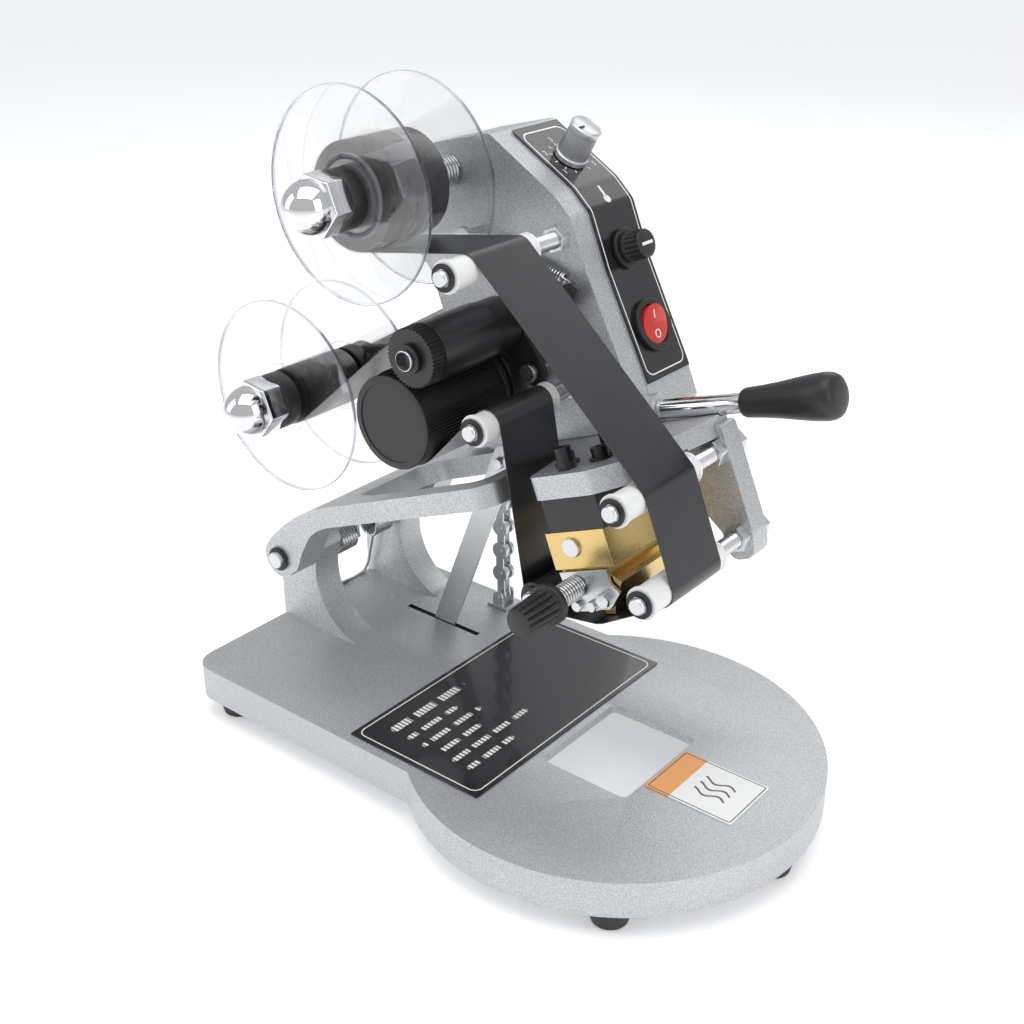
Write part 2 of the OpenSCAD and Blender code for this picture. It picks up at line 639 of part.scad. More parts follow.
// ---------------------------------------------------------------- nip
module pinch_lever() color("#3b3d40") swing() {
    difference() {
        profile(28, 30.2) union() {
            translate(lever_pin) circle(6.5);
            translate(pinch) circle(7.5);
            polygon([lever_pin + [-6.3, -1.6], lever_pin + [6.4, 1.2], pinch + [7.4, 1], pinch + [-7.3, -1.6]]);
            polygon([pinch + [2, -6], pinch + [4, 6], [171, 87.5], [174, 84], [166, 76]]);
        }
        rod(lever_pin, 20, 40, 2.05);
        rod([170.6, 84], 20, 40, 1);
    }
    rod(pinch, -34.5, 29, 3.9);
    rod(pinch, -32.5, -31.5, 6.2);
}
module pinch_roller() color("#55575a") swing() difference() {
    union() {
        rod(pinch, -30, 26, pinch_r);
        rod(pinch, -30, foil_y - 0.4, pinch_r + 0.4);
    }
    rod(pinch, -50, 50, 3.95);
}
module pinch_spring() color(steel) swing() {
    span = [170.6, 84] - spring_post;
    len = norm(span);
    translate([spring_post[0], 33.6, spring_post[1]]) rotate([0, 90 - atan2(span[1], span[0]), 0]) {
        for (i = [0:13]) translate([0, 0, 9 + i * 2.6]) rotate_extrude() translate([2.3, 0]) circle(0.5, $fn = 12);
        for (z = [0, len - 13.7]) translate([2.6, 0, z]) cylinder(h = z == 0 ? 9 : 12.6, r = 0.5, $fn = 16);
    }
}

// ---------------------------------------------------------------- foil
// a band laid over wheels [u, w, radius, side]; side 1 wraps anticlockwise
function heading(a, b) = let (d = [b[0] - a[0], b[1] - a[1]])
    atan2(d[1], d[0]) - asin((b[2] * b[3] - a[2] * a[3]) / norm(d));
function wrap(x) = x - 360 * floor(x / 360);
function sweep(a, b, side) = side > 0 ? wrap(b - a) : -wrap(a - b);
function on_wheel(k, t, off) = [k[0], k[1]] + (off - k[2] * k[3]) * [-sin(t), cos(t)];
function turned(k, a, b, off) = let (s = sweep(a, b, k[3]), n = max(1, ceil(abs(s) / 10)))
    [for (i = [0:n]) on_wheel(k, a + s * i / n, off)];
function open_path(ks, a0, a1, off) = let (m = len(ks) - 1,
    h = [for (i = [0:m - 1]) heading(ks[i], ks[i + 1])])
    [for (i = [0:m]) each turned(ks[i], i == 0 ? a0 : h[i - 1], i == m ? a1 : h[i], off)];
function loop_path(ks, off) = let (m = len(ks),
    h = [for (i = [0:m - 1]) heading(ks[i], ks[(i + 1) % m])])
    [for (i = [0:m - 1]) each turned(ks[i], h[(i + m - 1) % m], h[i], off)];
function reversed(v) = [for (i = [len(v) - 1:-1:0]) v[i]];
function band(ks, a0, a1) = concat(open_path(ks, a0, a1, foil_t / 2),
    reversed(open_path(ks, a0, a1, -foil_t / 2)));
lie = foil_t / 2 + gap;
function over(p, r, side) = [p[0], p[1], r + lie, side];
feed_run = [[supply[0], supply[1], roll_r + lie, 1], over(guides[0], 6, -1), over(guides[1], 6, -1),
    over(guides[2], 6, -1), [180, type_w + 1, 1 + lie, -1], [177, type_w + 1, 1 + lie, -1],
    over(guides[3], 6, -1), over(guides[4], 6, 1), over(feed, feed_r, -1)];
return_run = [over(pinch, pinch_r + 0.01, 1), [takeup[0], takeup[1], takeup_roll_r + lie, -1]];
nip_turn = atan2(pinch[1] - feed[1], pinch[0] - feed[0]) - 90;
module foil_feed_run() color("#c8ccd2") swing() profile(foil_y, foil_y + foil_w)
    polygon(band(feed_run, -60, nip_turn));
module foil_return_run() color("#3a3632") swing() profile(foil_y, foil_y + foil_w)
    polygon(band(return_run, nip_turn, 150));

base_casting();
rubber_feet();
foot_screws();
name_plate();
notice_plate();
hinge_shaft();
return_spring();
chain_anchor();
drive_chain();
swing_yoke();
guide_leg();
side_plate();
rear_cover();
cover_screws();
control_panel();
heat_knob();
fuse_cap();
panel_fittings();
switch_rocker();
inlet_gland();
circuit_board();
lift_strip();
strip_fasteners();
handle_rod();
handle_grip();
guide_rods();
rod_nuts();
rod_clips();
foil_roller_1();
foil_roller_2();
foil_roller_3();
foil_roller_4();
foil_roller_5();
head_screws();
insulator_block();
heater_block();
heater_cartridge();
type_holder();
type_slugs();
drawer_plate();
drawer_screws();
drawer_spring();
drawer_knob();
plate_shafts();
cap_nuts();
supply_spring();
supply_discs();
supply_core();
supply_foil();
takeup_discs();
takeup_core();
takeup_foil();
drive_belt();
feed_roller();
chain_sprocket();
pinch_lever();
pinch_roller();
pinch_spring();
foil_feed_run();
foil_return_run();
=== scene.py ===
# %% [markdown]
# # A hand-lever hot foil stamper
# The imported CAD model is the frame: every part has its real place and moves on its
# real joint. This notebook gives the frame its looks. Castings are softened copies of
# the CAD shapes, and turned, ribbed, wound and printed pieces are made new.

# %% Load the frame
import json
import math

import bmesh
import bpy
from mathutils import Matrix, Vector


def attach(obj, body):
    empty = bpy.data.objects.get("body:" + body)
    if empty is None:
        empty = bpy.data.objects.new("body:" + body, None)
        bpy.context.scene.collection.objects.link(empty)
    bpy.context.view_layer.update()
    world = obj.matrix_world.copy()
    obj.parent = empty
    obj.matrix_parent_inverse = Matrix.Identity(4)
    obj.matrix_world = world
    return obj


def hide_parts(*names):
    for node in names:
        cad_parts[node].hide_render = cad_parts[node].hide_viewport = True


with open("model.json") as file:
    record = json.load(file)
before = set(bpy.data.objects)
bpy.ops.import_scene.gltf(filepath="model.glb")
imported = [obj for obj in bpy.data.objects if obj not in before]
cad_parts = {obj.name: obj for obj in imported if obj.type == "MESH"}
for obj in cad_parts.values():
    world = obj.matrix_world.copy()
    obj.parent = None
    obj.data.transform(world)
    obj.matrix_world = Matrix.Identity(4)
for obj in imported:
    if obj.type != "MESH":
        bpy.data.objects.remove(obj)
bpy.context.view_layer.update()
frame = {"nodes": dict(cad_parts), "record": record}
nodes = frame["nodes"]

# %% [markdown]
# The head of the machine is drawn level, in its own U (forward) and W (up), and is
# stored tipped nose up by 22 degrees about the hinge axis. One matrix carries any
# point from the level drawing to its place at rest, so each piece is made straight
# and square and is then tipped with the rest.

# %% Places and units
MM = 0.001
TILT = math.radians(22)
TABLE_X = 60.604
TABLE_Z = 26.0
HINGE_BACK = 175
HINGE_UP = 43
HINGE = Vector((TABLE_X - HINGE_BACK, 0, TABLE_Z + HINGE_UP))
TO_METRES = Matrix.Scale(MM, 4)
LEVEL = TO_METRES @ Matrix.Translation(HINGE) @ Matrix.Rotation(-TILT, 4, "Y")
TABLE = TO_METRES @ Matrix.Translation((TABLE_X, 0, TABLE_Z))
SUPPLY = (117.5, 145.7)
TAKEUP = (38.1, 73.5)
FEED = (106.5, 54.1)
PINCH = (129.3, 78.3)
GUIDES = [(165, 105.5), (212, 7.5), (212, -29), (150, -28), (152, 45)]
KNOB = (173.5, -24.5)
PANEL_Y = 64.65
FOIL_NEAR, FOIL_FAR = -22.5, 11.5
FOIL_MIDDLE = (FOIL_NEAR + FOIL_FAR) / 2
FOIL_HALF = (FOIL_FAR - FOIL_NEAR) / 2
print("hinge at", tuple(round(v, 2) for v in HINGE), "mm")

# %% [markdown]
# Shader maths reads best as plain arithmetic. `Link` wraps one output socket, and each
# operator on it adds the Math node that does the work. `Finish` makes a material: its
# `add` method makes any other node, and constants go straight onto the shader.

# %% Shader arithmetic
class Link:
    """One output socket, with arithmetic that adds Math nodes."""

    def __init__(self, finish, socket):
        self.finish = finish
        self.socket = socket

    def maths(self, operation, *rest):
        return self.finish.add("ShaderNodeMath", {"operation": operation}, self, *rest)

    def __add__(self, other):
        return self.maths("ADD", other)

    def __sub__(self, other):
        return self.maths("SUBTRACT", other)

    def __mul__(self, other):
        return self.maths("MULTIPLY", other)

    def __lt__(self, other):
        return self.maths("LESS_THAN", other)

    def __gt__(self, other):
        return self.maths("GREATER_THAN", other)

    def __abs__(self):
        return self.maths("ABSOLUTE")

    def __rsub__(self, other):
        return self.finish.add("ShaderNodeMath", {"operation": "SUBTRACT"}, other, self)

    __radd__ = __add__
    __rmul__ = __mul__

    def smooth(self, low, high):
        """0 below low, 1 above high, with a soft step between."""
        return self.finish.add("ShaderNodeMapRange", {"interpolation_type": "SMOOTHSTEP"},
                               self, low, high)


class Finish:
    """A material built from its shader outwards."""

    def __init__(self, name, **constants):
        self.material = bpy.data.materials.new(name)
        self.material.use_nodes = True
        self.tree = self.material.node_tree
        self.shader = self.tree.nodes["Principled BSDF"]
        for socket, value in constants.items():
            self.feed(self.shader.inputs[socket.replace("_", " ")], value)

    def feed(self, socket, value):
        if isinstance(value, Link):
            self.tree.links.new(value.socket, socket)
        elif socket.type == "RGBA" and len(value) == 3:
            socket.default_value = (*value, 1)
        else:
            socket.default_value = value

    def add(self, kind, settings=None, *values, out=0, **named):
        node = self.tree.nodes.new(kind)
        for key, value in (settings or {}).items():
            setattr(node, key, value)
        for socket, value in zip(node.inputs, values):
            self.feed(socket, value)
        for key, value in named.items():
            self.feed(node.inputs[key.replace("_", " ")], value)
        return Link(self, node.outputs[out])

    def use(self, socket, value):
        self.feed(self.shader.inputs[socket], value)

    def place(self):
        return self.add("ShaderNodeTexCoord", out="Object")

    def axes(self, vector):
        node = self.tree.nodes.new("ShaderNodeSeparateXYZ")
        self.feed(node.inputs[0], vector)
        return [Link(self, out) for out in node.outputs]

    def level(self):
        """Object coordinates tipped back to the level drawing, in millimetres."""
        moved = self.add("ShaderNodeVectorMath", {"operation": "SUBTRACT"},
                         self.place(), tuple(HINGE * MM))
        return self.add("ShaderNodeMapping", None, moved, (0, 0, 0), (0, TILT, 0),
                        (1 / MM, 1 / MM, 1 / MM))

    def noise(self, vector, scale, detail=3.0, rough=0.55):
        return self.add("ShaderNodeTexNoise", None, Vector=vector, Scale=scale,
                        Detail=detail, Roughness=rough)

    def mix(self, factor, low, high):
        node = self.tree.nodes.new("ShaderNodeMix")
        node.data_type = "RGBA"
        for socket, value in zip((node.inputs[0], node.inputs[6], node.inputs[7]),
                                 (factor, low, high)):
            self.feed(socket, value)
        return Link(self, node.outputs[2])

    def bump(self, height, depth, strength=1.0):
        self.use("Normal", self.add("ShaderNodeBump", None, Strength=strength,
                                    Distance=depth, Height=height))


def stretched(finish, vector, scale):
    return finish.add("ShaderNodeVectorMath", {"operation": "MULTIPLY"}, vector, scale)


print("shader helpers ready")

# %% [markdown]
# The castings wear a silver hammer-fine enamel: aluminium flake in a clear binder, a
# little rough, with a tight orange-peel grain that only shows close to. Three noises do
# it: a fine one picks out single flakes, a coarser one pits the surface, and a broad
# one lets the tone drift by a hair so that large faces are never one flat grey.

# %% Silver enamel
def silver_enamel(name, tone, grain=1.0):
    f = Finish(name, Metallic=0.72, Specular_IOR_Level=0.5)
    at = f.place()
    flakes = f.noise(at, 2200.0, 2.0)
    grains = f.noise(at, 1100.0, 2.0)
    drift = f.noise(at, 18.0, 2.0)
    light = tuple(min(1, c * 1.28) for c in tone)
    dark = tuple(c * 0.7 for c in tone)
    f.use("Base Color", f.mix(flakes.smooth(0.38, 0.62) * 0.7 + drift * 0.3, dark, light))
    f.use("Roughness", 0.34 + flakes * 0.12 + drift * 0.06)
    f.bump(grains + flakes * 0.5, 0.00018 * grain, 0.7)
    return f.material


ENAMEL = silver_enamel("silver_enamel", (0.55, 0.56, 0.57))
print("silver enamel")

# %% [markdown]
# Bright metals differ in how they were worked. Zinc-plated steel is a soft grey with
# cloudy roughness, chrome is smooth, spring wire is darker, and milled brass keeps
# straight tool lines, which are a noise squeezed hard along one axis.

# %% Bright metals
def worked_metal(name, tone, low, high, stretch=(1, 1, 1), scale=600.0, depth=0.00001):
    f = Finish(name, Metallic=1.0)
    at = stretched(f, f.place(), stretch)
    lines = f.noise(at, scale, 3.0)
    cloud = f.noise(f.place(), 60.0, 2.0)
    f.use("Base Color", f.mix(cloud * 0.7 + lines * 0.3, tuple(c * 0.82 for c in tone), tone))
    f.use("Roughness", low + (lines * 0.6 + cloud * 0.4) * (high - low))
    f.bump(lines, depth, 0.4)
    return f.material


ZINC = worked_metal("zinc_plate", (0.74, 0.75, 0.77), 0.16, 0.42)
CHROME = worked_metal("chrome", (0.86, 0.86, 0.87), 0.03, 0.12, scale=200.0, depth=0.000002)
WIRE = worked_metal("spring_wire", (0.62, 0.63, 0.65), 0.16, 0.34)
SHEET = worked_metal("rolled_steel_sheet", (0.70, 0.71, 0.72), 0.2, 0.44, (1, 14, 1), 240.0)
BRASS = worked_metal("milled_brass", (0.80, 0.58, 0.24), 0.16, 0.38, (18, 1, 18), 180.0, 0.00002)
TYPE_METAL = worked_metal("type_metal", (0.55, 0.46, 0.31), 0.25, 0.5)
ALUMINIUM = worked_metal("turned_aluminium", (0.74, 0.75, 0.77), 0.3, 0.52, (1, 1, 8), 500.0)
print("bright metals")

# %% [markdown]
# The blacks are told apart by their surface: moulded plastic has a fine spark-eroded
# grain, rubber is duller and softer, satin enamel is smooth, and turned acetal on the
# white guide rollers shines a little and lets light in.

# %% Plastics and rubber
def moulded(name, tone, low, high, grain=1200.0, depth=0.00003, **constants):
    f = Finish(name, **constants)
    at = f.place()
    fine = f.noise(at, grain, 2.0)
    broad = f.noise(at, 40.0, 3.0)
    f.use("Base Color", f.mix(broad * 0.6 + fine * 0.4, tuple(c * 0.75 for c in tone),
                              tuple(min(1, c * 1.2) for c in tone)))
    f.use("Roughness", low + (broad * 0.5 + fine * 0.5) * (high - low))
    f.bump(fine, depth, 0.5)
    return f.material


BLACK = moulded("black_plastic", (0.018, 0.018, 0.019), 0.28, 0.5)
SATIN_BLACK = moulded("satin_black", (0.022, 0.022, 0.024), 0.3, 0.45, 700.0)
RUBBER = moulded("black_rubber", (0.02, 0.02, 0.02), 0.55, 0.8, 900.0, 0.00008)
# This black oxide also paints the walls of the base's slot dark, as painted shade.
OXIDE_AND_SLOT_SHADE = moulded("black_oxide_steel_and_slot_shade", (0.03, 0.03, 0.033), 0.22, 0.42, Metallic=0.5)
WHITE = moulded("white_acetal", (0.86, 0.86, 0.84), 0.26, 0.42, 900.0, 0.00001,
                Subsurface_Weight=0.15, Subsurface_Radius=(0.002, 0.002, 0.002))
GREY = moulded("grey_plastic", (0.24, 0.24, 0.25), 0.3, 0.5)
RED = moulded("red_plastic", (0.62, 0.022, 0.015), 0.1, 0.22, 300.0, 0.000005,
              Coat_Weight=0.4)
PRINT_WHITE = moulded("print_white", (0.9, 0.9, 0.89), 0.35, 0.5, 300.0, 0.000001)
BOARD = moulded("circuit_board_green", (0.02, 0.16, 0.05), 0.25, 0.45, 300.0)
print("plastics and rubber")

# %% [markdown]
# Foil is pigment on thin polyester film: black and satin, with long soft wrinkles
# across the web. On a roll the edges of the turns show as fine rings, so the
# roll's own finish measures distance from its axle.

# %% Foil and clear acrylic
def foil(name, centre=None):
    f = Finish(name, Coat_Weight=0.25, Coat_Roughness=0.2, Specular_IOR_Level=0.5)
    at = f.level()
    u, y, w = f.axes(at)
    ripple = f.noise(stretched(f, at, (0.3, 1.0, 0.3)), 0.12, 1.0)
    f.use("Base Color", f.mix(ripple, (0.014, 0.014, 0.015), (0.024, 0.024, 0.026)))
    if centre:
        du, dw = u - centre[0], w - centre[1]
        turns = f.add("ShaderNodeMath", {"operation": "SQRT"}, du * du + dw * dw)
        rings = (turns * 9.0).maths("SINE") * 0.5 + 0.5
        side = abs(y - FOIL_MIDDLE).smooth(FOIL_HALF - 0.2, FOIL_HALF - 0.02)
        f.use("Roughness", 0.24 + ripple * 0.08 + side * 0.2)
        f.bump(rings * side + ripple * 0.2, 0.00008, 0.5)
    else:
        f.use("Roughness", 0.3 + ripple * 0.1)
        f.bump(ripple, 0.0003, 0.2)
    return f.material


def clear_acrylic(name, centre):
    """Clear across the face, with the rim and a ring at the hub step painted darker and bluer:
    painted shade for light bent at cut acrylic edges.
    """
    f = Finish(name, Transmission_Weight=1.0, IOR=1.49)
    u, _, w = f.axes(f.level())
    du, dw = u - centre[0], w - centre[1]
    reach = (du * du + dw * dw).maths("SQRT")
    # Painted shade: the rim band and a thin ring at the hub step get a darker, bluer colour and
    # less clearness. They stand in for light bent at the cut edges, and the disc itself is flat at
    # the hub.
    rim = reach.smooth(43.2, 43.75)
    step = (abs(reach - 15.2) < 0.35) * 0.5
    smear = f.noise(f.place(), 22.0, 2.0)
    edge = rim.maths("MAXIMUM", step)
    f.use("Base Color", f.mix(edge, (0.76, 0.76, 0.75), (0.30, 0.32, 0.46)))
    f.use("Roughness", 0.01 + smear.smooth(0.5, 0.8) * 0.04)
    f.use("Alpha", 0.2 + smear * 0.05 + edge * 0.6)
    return f.material


FOIL = foil("black_foil")
SUPPLY_ROLL = foil("supply_roll_foil", SUPPLY)
SPENT_ROLL = foil("spent_roll_foil", TAKEUP)
SUPPLY_DISC = clear_acrylic("supply_disc_acrylic", SUPPLY)
TAKEUP_DISC = clear_acrylic("takeup_disc_acrylic", TAKEUP)
print("foil and acrylic")

# %% [markdown]
# Three labels carry print. Their lettering is left out: the data plate keeps its thin
# white frame and rows of broken bars where printed lines would be, the control panel
# its frame, and the notice its orange heading and three heat waves.
# A frame line is the place where the distance to a rounded rectangle is near zero,
# and a bar is where that distance is below zero.

# %% Printed labels
def rounded_box(f, x, y, centre, half, corner):
    """Distance from a rounded rectangle's edge, negative inside."""
    dx = (abs(x - centre[0]) - (half[0] - corner)).maths("MAXIMUM", 0.0)
    dy = (abs(y - centre[1]) - (half[1] - corner)).maths("MAXIMUM", 0.0)
    return (dx * dx + dy * dy).maths("SQRT") - corner


def printed_film(f, mask, base=(0.012, 0.012, 0.013), ink=(0.88, 0.88, 0.87)):
    sheen = f.noise(f.place(), 25.0, 3.0)
    f.use("Base Color", f.mix(mask, base, ink))
    f.use("Roughness", 0.16 + sheen * 0.12)
    f.bump(sheen, 0.0001, 0.15)
    return f.material


def table_millimetres(f):
    flat = f.add("ShaderNodeVectorMath", {"operation": "MULTIPLY_ADD"}, f.place(),
                 (1 / MM, 1 / MM, 1 / MM), (-TABLE_X, 0, -TABLE_Z))
    return f.axes(flat)


def data_plate():
    f = Finish("data_plate_film", Coat_Weight=0.5, Coat_Roughness=0.05)
    x, y, _ = table_millimetres(f)
    edge = rounded_box(f, x, y, (-57, -1), (33.6, 63.4), 4)
    mask = abs(edge) < 0.3
    rows = [(-80, -54, -6, 2.1), (-70.5, -54, -22, 1.4), (-62, -54, -16, 1.4),
            (-53.5, -54, -26, 1.4), (-45, -54, -4, 1.4), (-36.5, -54, -24, 1.4)]
    for row, start, end, half in rows:
        bar = rounded_box(f, x, y, (row, (start + end) / 2), (half, (end - start) / 2), half)
        words = (y * (0.55 + 0.02 * row / 10) + row).maths("SINE") > -0.75
        letters = (y * 3.1).maths("SINE") > -0.55
        mask = mask.maths("MAXIMUM", (bar < 0.0) * words * letters)
    return printed_film(f, mask)


def notice_film():
    f = Finish("notice_film", Coat_Weight=0.3)
    x, y, _ = table_millimetres(f)
    waves = None
    for offset in (-4.5, 0.0, 4.5):
        line = abs(y + 1.5 - offset - ((x - 52) * 0.55).maths("SINE") * 1.3) < 0.55
        line = line * (abs(x - 51) < 7.5)
        waves = line if waves is None else waves.maths("MAXIMUM", line)
    border = abs(rounded_box(f, x, y, (47.5, -1.5), (19.4, 14.4), 0.8)) < 0.25
    dark = waves.maths("MAXIMUM", border)
    paper = f.mix(x < 38.5, (0.86, 0.86, 0.85), (0.83, 0.33, 0.05))
    f.use("Base Color", f.mix(dark, paper, (0.02, 0.02, 0.02)))
    f.use("Roughness", 0.28 + f.noise(f.place(), 60.0) * 0.1)
    return f.material


def panel_film():
    f = Finish("control_panel_film", Coat_Weight=0.4, Coat_Roughness=0.08)
    _, y, w = f.axes(f.level())
    edge = rounded_box(f, y, w, (PANEL_Y + 0.1, 95), (13.8, 55.2), 4)
    mask = abs(edge) < 0.28
    return printed_film(f, mask)


DATA_PLATE = data_plate()
NOTICE = notice_film()
PANEL = panel_film()
print("printed labels")

# %% [markdown]
# Every new piece ends the same way: its bmesh is carried to its place, shaded smooth
# except at real edges, given its finish and tied to the body it moves with.
# Doing that in one function keeps each recipe below short.

# %% Finishing a piece
record = frame["record"]
body_of = {n: b for b, members in record["behaviour"]["bodies"].items() for n in members}


def show(bm, name, look, stands_for, place=LEVEL, body=None, also=(), crease=38):
    """Makes an object of bm. stands_for is the CAD node it replaces: that node is hidden, and its
    body is used unless body is given.
    """
    bmesh.ops.transform(bm, matrix=place, verts=bm.verts)
    mesh = bpy.data.meshes.new(name)
    bm.to_mesh(mesh)
    bm.free()
    mesh.materials.append(look)
    for extra in also:
        mesh.materials.append(extra)
    mesh.shade_smooth()
    mesh.set_sharp_from_angle(angle=math.radians(crease))
    piece = bpy.data.objects.new(name, mesh)
    bpy.context.scene.collection.objects.link(piece)
    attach(piece, body or body_of[stands_for])
    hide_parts(stands_for)
    return piece


def join(*parts):
    """One bmesh out of several."""
    whole = bmesh.new()
    for part in parts:
        scrap = bpy.data.meshes.new("scrap")
        part.to_mesh(scrap)
        part.free()
        whole.from_mesh(scrap)
        bpy.data.meshes.remove(scrap)
    return whole


def painted(bm, index):
    for face in bm.faces:
        face.material_index = index
    return bm


def moved(bm, matrix):
    bmesh.ops.transform(bm, matrix=matrix, verts=bm.verts)
    return bm


# %% [markdown]
# A casting or a machined part already has the right shape in CAD, but its corners are
# knife sharp. A copy is merged, its flat faces are made whole again, and every real
# corner gets a small round. The round is wide on castings and narrow on sheet metal.
# The slot in the base keeps crisp edges, and its walls are painted black as painted shade, for the
# shadow down in the slot.

# %% Softened copies of CAD shapes
def softened(node, width, segments=2, corner=28, crisp=lambda point: False):
    """A CAD node's shape with rounded corners, but for the edges that crisp() picks."""
    bm = bmesh.new()
    bm.from_mesh(nodes[node].data)
    bmesh.ops.remove_doubles(bm, verts=bm.verts, dist=2e-6)
    bmesh.ops.dissolve_limit(bm, angle_limit=math.radians(0.4), verts=bm.verts,
                             edges=bm.edges)
    if width:
        edges = [e for e in bm.edges
                 if len(e.link_faces) == 2 and e.calc_face_angle(0) > math.radians(corner)
                 and not crisp((e.verts[0].co + e.verts[1].co) / 2)]
        bmesh.ops.bevel(bm, geom=edges, offset=width * MM, offset_type="OFFSET",
                        segments=segments, profile=0.5, affect="EDGES", material=-1,
                        clamp_overlap=True)
    return bm


STAY = Matrix.Identity(4)
SOFT = [("swing_yoke", ENAMEL, 1.3, 3), ("guide_leg", ENAMEL, 0.9, 3),
        ("side_plate", ENAMEL, 0.9, 3), ("rear_cover", ENAMEL, 1.2, 3),
        ("lift_strip", SHEET, 0.2, 1),
        ("strip_fasteners", ZINC, 0.3, 2), ("head_screws", OXIDE_AND_SLOT_SHADE, 0.3, 2),
        ("insulator_block", SATIN_BLACK, 0.4, 2), ("heater_block", BRASS, 0.35, 2),
        ("heater_cartridge", ZINC, 0.3, 2), ("type_holder", BRASS, 0.3, 2),
        ("type_slugs", TYPE_METAL, 0.15, 1), ("drawer_plate", SHEET, 0.25, 2),
        ("drawer_screws", ZINC, 0.25, 2), ("plate_shafts", ZINC, 0.3, 2),
        ("rod_nuts", ZINC, 0.35, 2), ("chain_anchor", ZINC, 0.2, 2),
        ("drive_chain", ZINC, 0.15, 1), ("chain_sprocket", ZINC, 0.2, 1),
        ("pinch_lever", SATIN_BLACK, 0.3, 2), ("circuit_board", BOARD, 0.1, 1),
        ("panel_fittings", BLACK, 0.4, 3), ("inlet_gland", BLACK, 0.4, 2),
        ("cover_screws", ZINC, 0.4, 2), ("control_panel", PANEL, 0.12, 1),
        ("name_plate", DATA_PLATE, 0.12, 1), ("notice_plate", NOTICE, 0.1, 1),
        ("foil_feed_run", FOIL, 0, 1), ("foil_return_run", FOIL, 0, 1),
        ("rod_clips", OXIDE_AND_SLOT_SHADE, 0.15, 1)]
for node, look, width, segments in SOFT:
    piece = show(softened(node, width, segments), node + "_piece", look, node, STAY)
    weighted = piece.modifiers.new("even_shading", "WEIGHTED_NORMAL")
    weighted.keep_sharp = True
SLOT_MIDDLE = (TABLE_X - 126.75, 32.2)
SLOT_HALF = (22.8, 1.45)
SLOT_FLOOR = 20


def in_slot(point):
    x, y, z = point / MM
    inside = abs(x - SLOT_MIDDLE[0]) < SLOT_HALF[0] and abs(y - SLOT_MIDDLE[1]) < SLOT_HALF[1]
    return inside and z > SLOT_FLOOR


casting = softened("base_casting", 1.3, 3, crisp=in_slot)
# Faces down inside the slot get the black oxide finish as painted shade for the shadow in the
# narrow slot; the casting there is really enamel.
for face in casting.faces:
    middle = face.calc_center_median()
    if in_slot(middle) and middle.z < (TABLE_Z - 0.3) * MM:
        face.material_index = 1
show(casting, "base_casting_piece", ENAMEL, "base_casting", STAY, also=(OXIDE_AND_SLOT_SHADE,))
print("softened pieces:", len(SOFT) + 1)

# %% [markdown]
# Anything round is turned: half its outline is laid beside the axle and spun once.
# `turned` spins about Y, the direction of every axle here, and a matrix points the
# result elsewhere when the piece stands on the table or on the panel.

# %% Turning
def turned(profile, centre=(0, 0), steps=72):
    """profile is a list of (along the axle, radius)."""
    bm = bmesh.new()
    dots = [bm.verts.new((centre[0] + r, y, centre[1])) for y, r in profile]
    lines = [bm.edges.new(pair) for pair in zip(dots, dots[1:])]
    bmesh.ops.spin(bm, geom=dots + lines, cent=(centre[0], 0, centre[1]), axis=(0, 1, 0),
                   angle=math.tau, steps=steps, use_merge=True)
    bmesh.ops.remove_doubles(bm, verts=bm.verts, dist=0.0005)
    bmesh.ops.recalc_face_normals(bm, faces=bm.faces)
    return bm


def pipe(y0, y1, r, bore, soft=0.3):
    """The closed outline of a tube with softened rims."""
    return [(y0, bore), (y0, r - soft), (y0 + soft * 0.3, r - soft * 0.3), (y0 + soft, r),
            (y1 - soft, r), (y1 - soft * 0.3, r - soft * 0.3), (y1, r - soft), (y1, bore),
            (y0, bore)]


def bar(y0, y1, r, soft=0.5):
    return [(y0, 0), (y0, r - soft), (y0 + soft * 0.3, r - soft * 0.3), (y0 + soft, r),
            (y1 - soft, r), (y1 - soft * 0.3, r - soft * 0.3), (y1, r - soft), (y1, 0)]


def thread(y0, y1, r, pitch=1.0, depth=0.42):
    """Vee grooves, one to a pitch."""
    turns = int((y1 - y0) / pitch)
    return [(y0 + pitch * (i + half / 2), r - depth * half)
            for i in range(turns) for half in (0, 1)]


STAND = Matrix.Rotation(math.radians(90), 4, "X")
feet = [(79, 0), (45, 65.5), (45, -65.5), (-176, 59), (-176, -59)]
foot = [(0, 4), (0, 6.9), (0.5, 7.5), (8.4, 9.4), (9.0, 9.5), (9.38, 9.1), (9.38, 2.2),
        (3, 2.2), (3, 4), (0, 4)]
show(join(*(moved(turned(foot, steps=48), Matrix.Translation((x, y, -26)) @ STAND)
            for x, y in feet)), "rubber_feet_piece", RUBBER, "rubber_feet", TABLE)
show(softened("foot_screws", 0.3), "foot_screws_piece", ZINC, "foot_screws", STAY)
print("five rubber feet")

# %% [markdown]
# The guide rods are M6 studs: bare and bright where a roller turns, threaded where the
# locknut clamps them to the plate. The thread is turned as vee grooves, which look the
# same as a helix at this size and close cleanly.

